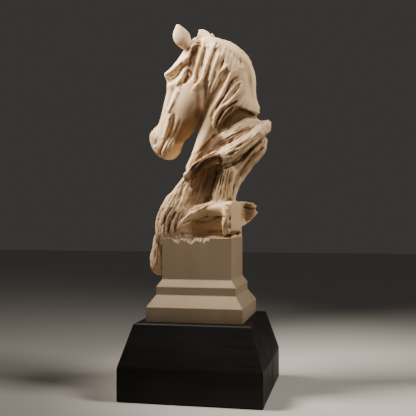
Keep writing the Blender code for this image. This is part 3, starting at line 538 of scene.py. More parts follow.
# %% The top of the mane
# Places (right, away, up), half width
MANE_CREST = (
    (-9, 3, 208, 6), (0, 3, 211, 8), (8, 2, 211.5, 10), (16, 2, 210, 11), (26.5, 1, 204, 12.5),
    (35.5, 0, 197, 13.5), (41.5, 0, 190.5, 14), (46, 0, 185.5, 14), (49.5, 0, 178, 14), (51, 0, 168, 14),
    (51, 0, 158, 13.5), (52, 0, 148.5, 12.5), (54.5, 0, 141, 10.5), (56.5, 0, 136.5, 8),
)
MANE_CREST_DEPTH = 5.5
MANE_MIDDLE = np.array([10.0, 0.0, 150.0])
crest_rows = smooth_rows(MANE_CREST, 120)
crest_shell = sweep(crest_rows[:, :3], crest_rows[:, :3] - MANE_MIDDLE, crest_rows[:, 3],
                    np.full(len(crest_rows), MANE_CREST_DEPTH), POLISHED)
print("crest", len(crest_shell[0]), "points")

# %% [markdown]
# Below the mane the wood is torn rather than cut. A blunt rear lock, a lip over the hollow, broad masses and
# strands down the chest, and a smooth limb are each a swept ellipse whose size changes along its path.

# %% The lower carving
# The way each faces, then places (right, away, up, half width, half depth)
REAR_LOCK = ((-0.1, -1.0, 0.2), (
    (8, -16, 80, 4, 3), (22, -20, 86, 8, 5), (36, -20, 95, 9, 6), (48, -17, 105, 9.5, 6),
    (59, -12, 114, 9, 6.5), (67.5, -7, 121, 6.5, 4.5), (71, -4, 125, 3, 2)))
FLAT_STRANDS = ((-0.1, -1.0, 0.1), (
    (10, -13, 90, 6, 4), (22, -15, 100, 10, 5), (36, -15, 110, 11, 5.5), (50, -11, 119, 10, 5.5),
    (58, -6, 124, 6, 5)))
BACK_MASS = ((0.3, -0.9, -0.2), (
    (22.5, -2, 34, 10, 20), (25.3, -2, 51, 10, 20), (31.3, -2, 64, 10, 18), (40.3, -2, 76, 10, 16),
    (51.3, -2, 89, 10, 13), (60.5, -3, 99.5, 8.5, 9.5), (66.5, -4, 107, 3.5, 4)))
HOLLOW_LIP = ((0.0, -1.0, 0.6), (
    (-18, -17, 63, 4.5, 8), (-12, -18, 69, 4.5, 9.5), (-2, -19, 76.5, 4.5, 10.5),
    (8, -19, 82, 4.5, 10.5), (15, -19, 84.5, 4, 9), (19, -19, 81, 3, 7)))
UPRIGHT_MASS = ((0.0, -1.0, 0.0), (
    (27, -16, 77, 4, 4), (25, -18, 67, 8, 6), (21, -20, 56, 9, 7), (18, -21, 46, 9, 7), (16, -21, 36, 7, 6)))
CHEST_BAND = ((-0.35, -0.95, 0.0), (
    (-15, -14, 70, 3, 4), (-20, -17, 57, 6, 6), (-26.5, -20, 45, 8, 7), (-33, -22, 34, 10.5, 8),
    (-37, -22.5, 22, 12.5, 8), (-39, -22, 6, 13, 7), (-38, -20, -7, 11, 6)))
LOW_STRAND = ((0.0, -1.0, 0.2), (
    (-14, -21, 52, 3, 2.5), (-22, -25, 40, 4, 3), (-28, -27, 28, 4.5, 3.5), (-33, -28, 16, 5, 3.5),
    (-35, -26, 3, 5, 3), (-35, -22, -6, 5, 3)))
ARCH_STRAND = ((0.0, -1.0, 0.4), (
    (12, -24, 35, 4, 4), (0, -23, 30, 6.5, 6), (-10, -23, 26, 7.5, 6.5), (-19, -24, 20, 7, 6),
    (-26, -24, 11, 6.5, 6), (-29, -22, 1, 6.5, 5), (-30, -20, -6, 6, 4)))
RECESS_BACK = ((0.0, -1.0, 0.0), (
    (-6, -13, 12, 9, 6), (8, -13, 15, 12, 8), (20, -14, 17, 13, 9), (30, -15, 18, 12, 9)))
FAR_STRANDS = (
    ((-0.2, 1.0, 0.0), (
        (60, 3, 116, 5, 3), (50, 9, 104, 9, 4), (38, 13, 90, 10, 4), (26, 15, 74, 9, 4),
        (14, 17, 58, 8, 4), (2, 19, 40, 6, 3))),
    ((-0.3, 1.0, 0.0), (
        (26, 11, 84, 5, 4), (12, 14, 66, 9, 4.5), (-6, 16, 46, 9, 5), (-20, 17, 26, 9, 6),
        (-28, 17, 4, 8, 6))),
    ((-0.2, 1.0, 0.0), (
        (34, 13, 60, 6, 5), (22, 18, 44, 9, 5), (10, 20, 26, 9, 5.5), (2, 20, 4, 8, 5))),
)
LIMB = ((0.0, -1.0, 0.4), (
    (-2, -22, 27, 3.5, 5), (8, -25, 29, 5, 6), (16, -28, 29.5, 7, 6.5), (24, -30, 29, 7.8, 6),
    (27, -30, 29, 6.5, 5)))
TORN_FIBRES = ((-0.5, -0.9, 0.0), (
    (24, -39, 31, 3, 3), (22, -41, 20, 3, 2.5), (20.5, -41, 11, 2.6, 2.4), (22, -40, 3, 2.4, 2)))


def strand(facing, rows, cut, count=120):
    """A swept ellipse through named places, with a slight ridge down its shown side."""
    rows = smooth_rows(rows, count)
    return sweep(rows[:, :3], facing, rows[:, 3], rows[:, 4], cut, ridge=0.15)


torn_shapes = (REAR_LOCK, FLAT_STRANDS, BACK_MASS, HOLLOW_LIP, UPRIGHT_MASS, CHEST_BAND, LOW_STRAND,
               ARCH_STRAND, RECESS_BACK, TORN_FIBRES) + FAR_STRANDS
lower_shells = [strand(*shape, TORN) for shape in torn_shapes]
lower_shells.append(strand(*LIMB, POLISHED))
print(len(lower_shells), "shapes in the lower carving")

# %% [markdown]
# The flap behind the wall is a thin piece that bent outwards as it tore. It is a sheet from a straight root
# to a ragged edge, cupped both ways, with a second sheet behind it for its thickness.

# %% The torn flap
# Its edge (right, up) from below to above, and its root (right, away)
FLAP_EDGE = (
    (40.0, 10.0), (43.7, 11.7), (51.5, 16.8), (57.1, 22.4), (61.0, 26.8), (57.4, 30.4), (59.6, 34.2),
    (54.9, 37.6), (46.0, 38.8),
)
FLAP_ROOT = (32.0, 14.0)
FLAP_LEAN = 0.64
FLAP_THICKNESS = 4.2
FLAP_CUP = 2.0


def flap(rows=110, columns=60):
    """Each row runs from the root to the edge at its height. Half a sine each way bends the sheet back."""
    edge = np.array(FLAP_EDGE)
    v = np.linspace(edge[0, 1], edge[-1, 1], rows)[:, None]
    share = np.linspace(0.0, 1.0, columns)[None]
    u = FLAP_ROOT[0] + (np.interp(v, edge[:, 1], edge[:, 0]) - FLAP_ROOT[0]) * share
    height = (v - v.min()) / (v.max() - v.min())
    away = FLAP_ROOT[1] + (u - FLAP_ROOT[0]) * FLAP_LEAN
    away = away + FLAP_CUP * np.sin(math.pi * share) * np.sin(math.pi * height)
    v = np.broadcast_to(v, u.shape)
    fibre = np.stack([v, u, np.full(u.shape, COMBED), np.zeros(u.shape)], axis=-1)
    front = np.stack([u, away, v], axis=-1)
    back = np.stack([u, away + FLAP_THICKNESS * (1.0 - 0.3 * share), v], axis=-1)
    return slab(front, back, fibre)


flap_shell = flap()
print("flap", len(flap_shell[0]), "points")

# %% [markdown]
# Three shapes belong to the block: the lock that hangs down its left side, the rough bed over its top, and
# what is left standing of its right wall. Their sizes follow the block's, so they are worked out in metres
# there and brought back to the figure's millimetres.

# %% What belongs to the block
WALL_THICKNESS = 0.007
WALL_HEIGHT = 0.039
WALL_INSET = 0.0004
# Shares of the block's width from its middle, and of the wall's height
WALL_OUTLINE = (
    (-0.5, 0.14), (-0.3, 0.10), (-0.1, 0.13), (0.1, 0.15), (0.22, 0.10), (0.25, -0.1), (0.5, -0.1),
    (0.495, 0.45), (0.485, 0.72), (0.44, 0.88), (0.3, 0.95), (0.05, 1.0), (-0.25, 0.985), (-0.42, 0.96),
    (-0.49, 0.9), (-0.5, 0.6), (-0.47, 0.5), (-0.5, 0.4), (-0.46, 0.28),
)
half_block = BLOCK_WIDTH / 2


def from_metres(points, fibre, faces):
    """A shell worked out in metres in the object's frame, in the figure's frame and its millimetres."""
    return in_figure(points), fibre / (MM, MM, 1.0, 1.0), faces


def hanging_lock():
    """A swept ellipse that starts over the block's top edge and lies down its left face."""
    drop = 0.90 * BLOCK_HEIGHT
    rows = ((0.006, 0.24, 6, 8), (-0.005, 0.05, 8, 12), (-0.009, -0.30, 7.5, 12), (-0.011, -0.65, 8, 12),
            (-0.010, -0.88, 7, 10), (-0.005, -1.0, 4, 6))
    rows = [(x - half_block, -0.2 * BLOCK_WIDTH, BLOCK_TOP + share * drop, half * MM, deep * MM)
            for x, share, half, deep in rows]
    rows = smooth_rows(rows, 120)
    return from_metres(*sweep(rows[:, :3], (0.0, -1.0, 0.0), rows[:, 3], rows[:, 4], TORN))


def broken_bed():
    """A low mound along the block's top, set back from its front edge."""
    rows = ((-0.96, 0.55, 3.0), (-0.8, 0.78, 5.0), (-0.3, 0.82, 7.0), (0.3, 0.82, 7.0), (0.7, 0.78, 6.0),
            (0.95, 0.6, 4.0))
    rows = [(x * half_block, 0.12 * half_block, BLOCK_TOP - MM, y * half_block, rise * MM)
            for x, y, rise in rows]
    rows = smooth_rows(rows, 100)
    return from_metres(*sweep(rows[:, :3], (0.0, 0.0, 1.0), rows[:, 3], rows[:, 4], TORN, sides=96))


def standing_wall():
    """A flat plank on the block's right edge, cut to the torn outline, its fibres upright."""
    outer = half_block - WALL_INSET
    reach = BLOCK_WIDTH - 2 * WALL_INSET
    face = np.array([(outer, y * reach, BLOCK_TOP + z * WALL_HEIGHT) for y, z in WALL_OUTLINE])
    count = len(face)
    around = [[i, i + count, (i + 1) % count + count, (i + 1) % count] for i in range(count)]
    ends = [list(range(count)), list(range(2 * count - 1, count - 1, -1))]
    points = np.concatenate([face, face - (WALL_THICKNESS, 0.0, 0.0)])
    fibre = np.zeros((2 * count, 4))
    fibre[:, :2] = points[:, 1:]
    fibre[count:, 2] = TORN
    return from_metres(points, fibre, ends + around)


block_shells = [hanging_lock(), broken_bed()]
wall_shell = standing_wall()
print(len(block_shells) + 1, "shapes on the block")

# %% [markdown]
# All these shells overlap, and a carver's gouge leaves no slits between them. So they are fused in two steps.
# A voxel remesh makes one skin of the neck, the mane and the rough wood. Moving that skin out, fusing it
# again and moving it back in fills each cleft too narrow for a gouge. Then the head, the ears, the flap and
# the wall join in, and all is one closed surface, as if carved from one block.

# %% Mesh helpers
def mesh_from(name, points, faces):
    """A mesh from an array of points and a list of faces."""
    mesh = bpy.data.meshes.new(name)
    mesh.from_pydata(points.tolist(), [], faces)
    mesh.update()
    return mesh


def add_object(name, mesh):
    """An object for a mesh, at the origin, in the scene."""
    made = bpy.data.objects.new(name, mesh)
    bpy.context.scene.collection.objects.link(made)
    return made


def baked(item):
    """The mesh of an object with its modifiers applied."""
    bpy.context.view_layer.update()
    return bpy.data.meshes.new_from_object(item.evaluated_get(bpy.context.evaluated_depsgraph_get()))


def read_points(mesh):
    """A mesh's points as an array."""
    flat = np.empty(len(mesh.vertices) * 3)
    mesh.vertices.foreach_get("co", flat)
    return flat.reshape(-1, 3)


def gathered(shells):
    """Several shells as one: their points, fibre numbers and faces."""
    starts = np.cumsum([0] + [len(shell[0]) for shell in shells])
    faces = [[i + int(start) for i in face] for shell, start in zip(shells, starts) for face in shell[2]]
    points, numbers = (np.concatenate([shell[k] for shell in shells]) for k in (0, 1))
    return points, numbers, faces


def fuse(item, voxel):
    """A voxel remesh, which makes one skin of all that overlaps."""
    made = item.modifiers.new("fuse", "REMESH")
    made.mode = "VOXEL"
    made.voxel_size = voxel


def offset(item, distance):
    """Moves a skin out along its normals, or in."""
    made = item.modifiers.new("offset", "DISPLACE")
    made.mid_level = 0.0
    made.strength = distance


print("mesh helpers ready")

# %% Fusing the shells
VOXEL = 0.00068
ROUGH_VOXEL = 0.0011
CLEFT = 0.0020

rough_shells = [neck_shell, crest_shell] + mane_shells + lower_shells + block_shells
fine_shells = [head_shell, flap_shell, wall_shell] + ear_shells
points, _, faces = gathered(rough_shells)
wood_mass = add_object("wood_mass", mesh_from("wood_mass", in_object(points), faces))
fuse(wood_mass, ROUGH_VOXEL)
offset(wood_mass, CLEFT)
fuse(wood_mass, ROUGH_VOXEL)
offset(wood_mass, -CLEFT)
closed = baked(wood_mass)
closed_points = read_points(closed)
closed_shell = (in_figure(closed_points), np.zeros((len(closed_points), 4)),
                [list(face.vertices) for face in closed.polygons])
bpy.data.objects.remove(wood_mass)

points, _, faces = gathered([closed_shell] + fine_shells)
carved = add_object("carved_horse", mesh_from("carved_horse", in_object(points), faces))
fuse(carved, VOXEL)
ease = carved.modifiers.new("ease", "SMOOTH")
ease.factor = 0.5
ease.iterations = 2
carved.data = baked(carved)
carved.modifiers.clear()
print("fused", len(carved.data.vertices), "points,", len(carved.data.polygons), "faces")

# %% [markdown]
# The remesh loses the fibre numbers. A Data Transfer modifier reads them back from the nearest place on the
# loose shells.

# %% Carrying the fibre numbers over
points, fibre, faces = gathered(rough_shells + fine_shells)
loose = add_object("loose_shells", mesh_from("loose_shells", in_object(points), faces))
layer = loose.data.color_attributes.new("fibre", "FLOAT_COLOR", "POINT")
layer.data.foreach_set("color", fibre.ravel())
for layer in list(carved.data.color_attributes):
    carved.data.color_attributes.remove(layer)
carved.data.color_attributes.new("fibre", "FLOAT_COLOR", "POINT")
carry = carved.modifiers.new("carry", "DATA_TRANSFER")
carry.object = loose
carry.use_vert_data = True
carry.data_types_verts = {"COLOR_VERTEX"}
carry.vert_mapping = "POLYINTERP_NEAREST"
carved.data = baked(carved)
carved.modifiers.clear()
bpy.data.objects.remove(loose)
print("fibre numbers on", len(carved.data.vertices), "points")

# %% [markdown]
# Now the fine carving. On the real piece every strand of hair is a round ridge between two cuts of a V-shaped
# gouge, and the torn wood is coarser and uneven. Both follow the fibre numbers, so the cuts bend with the
# locks. A noise made of random numbers on a grid keeps them from looking ruled.

# %% Noise and strands
def value_noise(x, y, seed):
    """Random numbers from -1 to 1 on a square grid, blended between its corners by a smooth step."""
    table = np.random.default_rng(seed).uniform(-1.0, 1.0, (256, 256))
    i, j = np.floor(x).astype(int), np.floor(y).astype(int)
    u, v = x - i, y - j
    u, v = u * u * (3.0 - 2.0 * u), v * v * (3.0 - 2.0 * v)
    i, j, m, n = i % 256, j % 256, (i + 1) % 256, (j + 1) % 256
    low = table[i, j] * (1.0 - u) + table[m, j] * u
    high = table[i, n] * (1.0 - u) + table[m, n] * u
    return low * (1.0 - v) + high * v


def strands(across, along, width, length, seed):
    """The root of |sin| of the distance across: round ridges and sharp grooves, each of its own strength."""
    bend = 0.6 * width * value_noise(across / (4.0 * width), along / length, seed)
    bend = bend + 0.3 * width * value_noise(across / width, along / (0.6 * length), seed + 1)
    place = (across + bend) / width
    ridge = np.sqrt(np.abs(np.sin(math.pi * place)))
    strength = 0.6 + 0.4 * value_noise(np.floor(place), along / (1.5 * length), seed + 2)
    return (ridge - 0.76) * strength


fibre = np.empty(len(carved.data.vertices) * 4)
carved.data.color_attributes["fibre"].data.foreach_get("color", fibre)
across, along, cut, _ = fibre.reshape(-1, 4).T
combed = np.clip(1.0 - np.abs(cut - COMBED), 0.0, 1.0)
rough = np.clip(cut - COMBED, 0.0, 1.0)
# Millimetres along the fibre: the hair is faint up to the first place and full from the second
ROOT_END, HAIR_START = 10.0, 42.0
fade = np.clip((along - ROOT_END) / (HAIR_START - ROOT_END), 0.0, 1.0)
hair = (0.25 + 0.75 * fade) * combed
# Height in millimetres, width and length of a strand, seed
HAIR_STRANDS = ((0.42, 3.1, 34.0, 11), (0.30, 1.7, 20.0, 21))
TORN_STRANDS = ((0.75, 3.4, 22.0, 31), (0.45, 1.9, 14.0, 41))
relief = hair * sum(height * strands(across, along, *rest) for height, *rest in HAIR_STRANDS)
relief += rough * sum(height * strands(across, along, *rest) for height, *rest in TORN_STRANDS)
relief += rough * 0.6 * value_noise(across / 5.0, along / 7.0, 51)
splits = np.clip(-value_noise(across / 2.3, along / 11.0, 52) - 0.2, 0.0, 1.0)
relief -= rough * 0.9 * splits
print("strand relief from", relief.min().round(2), "to", relief.max().round(2), "mm")

# %% [markdown]
# Many cuts belong to one place only: the troughs between the locks, the crease over the eye, the nostril, the
# slits in the rear lock. They are drawn as short lines where the photograph shows them. A line acts only on
# what the camera sees, so it can't cut through to the far side.

# %% What the camera sees
# A point further behind the nearest one than this, in metres, is hidden
HIDDEN_BEHIND = 0.007
# How squarely a point has to face the camera to take a cut, or painted shade and stain, in full
CUT_FACING = 0.35
SHADE_AND_STAIN_FACING = 0.04
mesh = carved.data
points = read_points(mesh)
normals = np.empty(len(mesh.vertices) * 3)
mesh.vertex_normals.foreach_get("vector", normals)
normals = normals.reshape(-1, 3)
pixels = in_photo(points)
toward = unit_rows(CAMERA_AT - points)
distance = np.linalg.norm(CAMERA_AT - points, axis=1)
cell = np.clip(pixels, 0, PHOTO_SIZE - 1).astype(int)
cell = cell[:, 1] * PHOTO_SIZE + cell[:, 0]
nearest = np.full(PHOTO_SIZE * PHOTO_SIZE, np.inf)
np.minimum.at(nearest, cell, distance)
facing = (normals * toward).sum(axis=1)
in_front = distance < nearest[cell] + HIDDEN_BEHIND
seen = np.clip(facing / CUT_FACING, 0.0, 1.0) * in_front
shown = np.clip(facing / SHADE_AND_STAIN_FACING, 0.0, 1.0) * in_front
print("seen", int((seen > 0).sum()), "of", len(points))

# %% One drawn line
# The width of a line at its ends, as a share of its full width
POINTED = 0.35


def stroke(places, width):
    """A gouge line at each point seen: 1 on its smooth curve, 0 past its width, which narrows to the ends."""
    line = smooth_rows([(x, y, 0.0) for x, y in places], 4 * len(places))[:, :2]
    low, high = line.min(axis=0) - 2.0 * width, line.max(axis=0) + 2.0 * width
    near = np.flatnonzero(((pixels > low) & (pixels < high)).all(axis=1) & (shown > 0))
    spots = pixels[near]
    best, share = np.full(len(near), np.inf), np.zeros(len(near))
    run = lengths(line)
    for a, b, start in zip(line[:-1], line[1:], run):
        t = np.clip(((spots - a) @ (b - a)) / ((b - a) @ (b - a)), 0.0, 1.0)
        away = np.linalg.norm(spots - a - t[:, None] * (b - a), axis=1)
        closer = away < best
        best = np.where(closer, away, best)
        share = np.where(closer, (start + t * np.linalg.norm(b - a)) / run[-1], share)
    local = width * (POINTED + (1.0 - POINTED) * np.sqrt(np.sin(math.pi * np.clip(share, 0.0, 1.0)) + 1e-9))
    return near, np.exp(-((best / local) ** 3))


print("line helper ready")

# %% The lines of the mane and the face
# Places in the photograph, width in pixels, height in millimetres, share of the painted shade and stain
MANE_CUTS = (
    (((199.5, 38), (197, 47), (193.8, 56), (191.2, 66), (188.2, 75), (184, 82)), 4.7, -3.0, 0.64),
    (((191.5, 51), (188.8, 63), (187, 74), (183, 82), (179.5, 89)), 1.5, -0.6, 0.58),
    (((203.5, 45), (198.5, 60), (194.8, 72), (193.5, 82)), 1.3, 1.1, 0.0),
    (((206, 48), (202.8, 59), (199.5, 70), (197, 79)), 3.0, -1.1, 0.26),
    (((215.5, 42), (210.5, 55), (205.8, 69), (203, 78), (199.5, 82.5), (195, 86.5), (192.7, 91)),
     1.4, 1.5, 0.0),
    (((217.5, 49), (214, 60), (211, 70), (208, 78), (204.5, 86)), 4.4, -0.9, 0.34),
    (((213.5, 52), (209.5, 64), (207, 75), (203.5, 83)), 1.2, -0.4, 0.46),
    (((205, 86), (200, 88), (195.5, 92)), 3.0, -0.7, 0.42),
    (((224, 60), (222, 66), (220, 71)), 1.3, -1.1, 0.50),
    (((215.5, 71.5), (214.7, 75), (213.5, 79)), 1.2, -0.9, 0.50),
    (((225, 47), (221, 58), (217.8, 68), (213.3, 77), (208.8, 88), (205.3, 100), (203.5, 112)),
     1.6, 0.9, 0.0),
    (((227, 70), (221.5, 80.5), (216.8, 90), (212.5, 98), (208.5, 105), (204.8, 112)), 3.7, -0.9, 0.36),
    (((232, 70), (226, 83), (222.8, 92.5), (218, 101), (213.5, 107.5), (209.5, 116)), 1.4, 1.0, 0.0),
    (((223, 97), (218.3, 103.5), (214.7, 109.2), (212.3, 114.6), (211.6, 121.5)), 1.9, -1.1, 0.32),
    (((236.5, 77), (231, 82), (228.2, 87), (226, 93), (223.4, 98.4)), 1.2, -0.9, 0.36),
    (((241, 82), (235, 89), (229.5, 95), (225, 101)), 3.4, 0.9, 0.0),
    (((239, 83.5), (234.9, 87.6), (230.9, 93), (227.5, 97)), 0.8, -0.6, 0.26),
    (((240, 87), (234.3, 93), (228.9, 98.4)), 0.7, -0.5, 0.22),
    (((242, 85), (235.6, 95.5), (228.9, 102.3), (222, 107), (217.5, 111.8), (214.3, 119), (213.7, 128)),
     1.5, 1.2, 0.0),
    (((240, 66), (236, 70.5), (232.9, 74), (227.5, 82)), 1.7, 0.6, 0.0),
    (((191.5, 60), (190.5, 67), (189.5, 75)), 3.6, 1.3, 0.0),
    (((207.5, 46), (205, 57), (202.5, 68), (200, 77)), 3.4, 0.9, 0.0),
    (((218, 46), (215, 57), (211.5, 69), (207.5, 81)), 4.0, 1.5, 0.0),
    (((227.5, 65), (224.5, 72), (221, 80)), 3.2, 1.1, 0.0),
    (((244, 70), (239, 77), (236, 81)), 3.6, -0.8, 0.10),
    (((237, 101), (227, 107.8), (221, 114.2), (217, 120.8), (215.8, 128)), 1.4, -1.6, 0.72),
    (((233, 107.5), (227.5, 112.8), (223, 118.5), (219.4, 125)), 1.4, -1.2, 0.80),
    (((230, 116), (225.5, 122), (222, 129)), 1.0, -0.8, 0.60),
    (((239, 108.8), (246.5, 111.3), (254.5, 115.3)), 1.7, -1.1, 0.76),
)
FACE_CUTS = (
    (((188, 57), (182, 61.5), (174, 69), (167, 73.5)), 2.3, 0.8, 0.0),
    (((184, 62), (180.5, 70), (176, 77), (170, 80)), 2.6, 0.6, 0.0),
    (((184.8, 61), (183.8, 70), (180.8, 77.5), (176.8, 85)), 2.0, 0.7, 0.0),
    (((182.5, 65.5), (180, 71.5), (176, 76.5), (171.5, 79)), 1.6, -0.6, 0.26),
    (((166, 76), (170, 75.5), (174, 74)), 1.0, -0.5, 0.12),
    (((179.5, 89), (176.8, 95), (173.4, 104), (170, 111)), 1.2, -0.35, 0.06),
    (((181.5, 89), (178, 97), (172, 110)), 0.9, -0.25, 0.04),
    (((174, 88), (170, 99), (167, 108)), 1.2, -0.25, 0.03),
    (((163, 107), (168, 111), (169, 119)), 2.2, 0.5, 0.0),
    (((171.8, 114), (169.4, 122), (166.8, 131), (165, 137)), 2.6, 1.1, 0.0),
    (((168.5, 112), (165.5, 120), (162.5, 128)), 1.2, -0.4, 0.10),
    (((175, 117), (172.5, 124), (169.5, 131.5)), 1.3, -0.3, 0.08),
    (((180.5, 119), (178, 127), (174.5, 134), (171, 139)), 1.5, -0.5, 0.18),
    (((150.8, 137), (152, 142), (154.5, 144.3), (157, 142), (157.3, 137.5)), 1.4, -0.5, 0.18),
    (((160, 128), (162, 136), (160, 142)), 1.2, -0.5, 0.12),
    (((166.5, 138.5), (162.5, 147.5), (159, 154.5)), 2.6, 0.5, 0.0),
    (((166, 139.5), (162, 148), (158.6, 155)), 1.3, -0.3, 0.52),
    (((169.8, 140.5), (166.4, 148), (164, 156.5)), 1.0, -0.9, 0.34),
    (((173, 141), (170, 147), (168, 152)), 1.0, -0.5, 0.20),
    (((155, 148), (159, 152), (163, 158)), 1.0, -0.5, 0.20),
    (((190, 44), (188, 50), (184, 56)), 1.4, -0.6, 0.22),
)

# %% The lines of the torn wood
LOWER_CUTS = (
    (((218.6, 154.1), (213.8, 155.3), (205.8, 159.3), (201, 163.3), (195.5, 169.7), (193, 174.4)),
     1.5, 1.3, 0.0),
    (((217, 152.3), (205, 157), (197.3, 163.3), (189.5, 171.3)), 1.3, -0.9, 0.42),
    (((214, 134.5), (204.5, 145.5), (195.5, 156), (189.5, 167)), 1.2, -0.9, 0.50),
    (((217, 157.5), (208, 162), (201, 167.3), (195.5, 175)), 1.8, -1.8, 0.72),
    (((219, 157), (220, 160), (220.8, 164.5)), 2.3, -1.6, 0.85),
    (((193, 174), (188.3, 181), (185, 189), (182, 204)), 1.5, 0.8, 0.0),
    (((207, 205.5), (196, 211.2), (187.5, 216.2), (181.9, 221), (178, 229)), 1.4, 1.0, 0.0),
    (((183, 224), (191.5, 221.2), (201, 221.8), (210.6, 220), (218, 217.3), (225, 217)), 1.5, -1.2, 0.44),
    (((209, 213), (203, 215.3), (196, 218), (187, 222.5)), 1.0, -0.7, 0.36),
    (((164, 208), (160, 213), (158, 220)), 1.3, -0.8, 0.34),
    (((171, 208), (166, 216), (162, 226)), 1.4, -1.0, 0.36),
    (((176, 212), (171, 221), (168, 233)), 1.8, -1.3, 0.50),
    (((180, 213), (176, 222), (174, 232)), 1.0, -0.7, 0.30),
    (((160, 236), (157, 248), (154, 262)), 1.2, -0.6, 0.20),
    (((158, 254), (157, 264), (154, 270)), 1.2, -0.8, 0.30),
    (((226.5, 209), (227, 220), (228, 231)), 2.6, 1.3, 0.0),
    (((229.9, 217), (229.4, 223), (229.8, 230)), 0.9, -0.8, 0.40),
    (((231, 232.4), (235, 232.8), (241, 232.6)), 2.8, -1.6, 1.00),
    (((224, 237), (229, 234.6), (233, 233)), 1.5, -1.0, 0.75),
    (((257, 208.3), (250, 209.6), (243.5, 207)), 1.2, -0.9, 0.50),
    (((230, 149.5), (235.5, 147.2), (242, 144)), 1.2, -0.8, 0.48),
    (((229.3, 155.2), (233, 153.2), (238.5, 150.3)), 1.2, -0.8, 0.48),
    (((261, 142.3), (250, 150.6), (243.3, 158), (233, 165), (224.5, 168.5)), 1.8, -1.1, 0.60),
    (((257, 132), (249, 141), (241.7, 148), (232, 157)), 1.6, 0.7, 0.0),
    (((262, 121), (262, 128), (266, 135)), 1.0, -0.4, 0.22),
    (((233, 171), (231.5, 176), (229.5, 183)), 2.4, -1.2, 0.48),
)
print(len(MANE_CUTS) + len(FACE_CUTS) + len(LOWER_CUTS), "lines drawn one by one")

# %% Fans of strands
# Where strands run side by side, only the first and the last are drawn. The rest lie between them.
# First line, last line, how many, width in pixels, height in millimetres, share of the painted shade and stain
FANS = (
    (((230, 50), (228, 60), (224, 72)), ((244, 62), (242, 74), (240, 84)), 8, 0.8, -0.4, 0.08),
    (((238, 82), (231, 90), (225, 99)), ((241, 86), (235, 95), (229, 101)), 3, 0.6, -0.35, 0.14),
    (((228, 64), (221, 77), (213, 92)), ((234, 64), (229, 78), (222, 92)), 4, 0.8, -0.5, 0.16),
    (((219, 118), (217, 126), (219, 134)), ((240, 104), (233, 118), (226, 134)), 6, 0.8, -0.5, 0.30),
    (((224, 150), (240, 141), (259, 124)), ((226, 134), (240, 127), (256, 119)), 15, 0.7, -0.6, 0.26),
    (((226, 163), (244, 151), (262, 138)), ((228, 153), (244, 142), (258, 129)), 8, 0.7, -0.5, 0.20),
    (((240, 182), (251, 167), (265, 147)), ((232, 196), (236, 176), (250, 156)), 10, 0.9, -1.0, 0.42),
    (((216, 170), (212, 184), (208, 198)), ((232, 168), (230, 184), (230, 199)), 12, 0.75, -1.0, 0.46),
    (((193, 174), (186, 188), (182, 205)), ((212, 166), (206, 188), (198, 206)), 11, 0.8, -0.7, 0.30),
    (((200, 200), (195, 206), (186, 214)), ((213, 194), (206, 203), (198, 211)), 5, 0.8, -0.6, 0.30),
    (((184, 178), (172, 194), (162, 210)), ((190, 178), (183, 192), (176, 208)), 11, 0.7, -0.7, 0.26),
    (((157, 214), (157, 224), (158, 233)), ((184, 212), (180, 222), (180, 233)), 12, 0.75, -0.7, 0.28),
    (((186, 230), (196, 224), (208, 220)), ((204, 231), (212, 226), (222, 220)), 6, 0.9, -0.7, 0.30),
    (((155, 240), (152, 252), (151, 264)), ((161, 240), (159, 254), (158, 270)), 5, 0.8, -0.6, 0.24),
    (((234, 206), (235, 216), (236, 228)), ((240, 206), (240, 216), (240, 227)), 3, 0.8, -0.25, 0.06),
    (((166, 236.5), (185, 236), (205, 235)), ((172, 233.5), (195, 232.5), (221, 231.5)), 5, 0.7, -0.6, 0.12),
)
# Points on one line, how far it may shift in pixels, and how much its size and its stain may vary
FAN_POINTS = 9
FAN_SHIFT = 0.5
FAN_SIZES = (0.7, 1.3)


def fan(first, last, count, width, height, shade_and_stain, seed):
    """Lines blended from the first to the last, each shifted, shortened and sized by a seeded draw."""
    draw = np.random.default_rng(seed)
    first, last = np.array(first, float), np.array(last, float)
    for k in range(count):
        share = (k + 0.5 + draw.uniform(-0.25, 0.25)) / count
        places = np.column_stack([first + (last - first) * share, np.zeros(len(first))])
        line = smooth_rows(places, FAN_POINTS)[:, :2]
        shortened = line[draw.integers(0, 3):FAN_POINTS - draw.integers(0, 3)]
        line = shortened + draw.uniform(-FAN_SHIFT, FAN_SHIFT, 2)
        size = draw.uniform(*FAN_SIZES)
        yield line, width * size, height * size, shade_and_stain * draw.uniform(*FAN_SIZES)


lines = list(MANE_CUTS + FACE_CUTS + LOWER_CUTS)
for seed, values in enumerate(FANS):
    lines += fan(*values, seed=100 + seed)
print(len(lines), "lines in all")
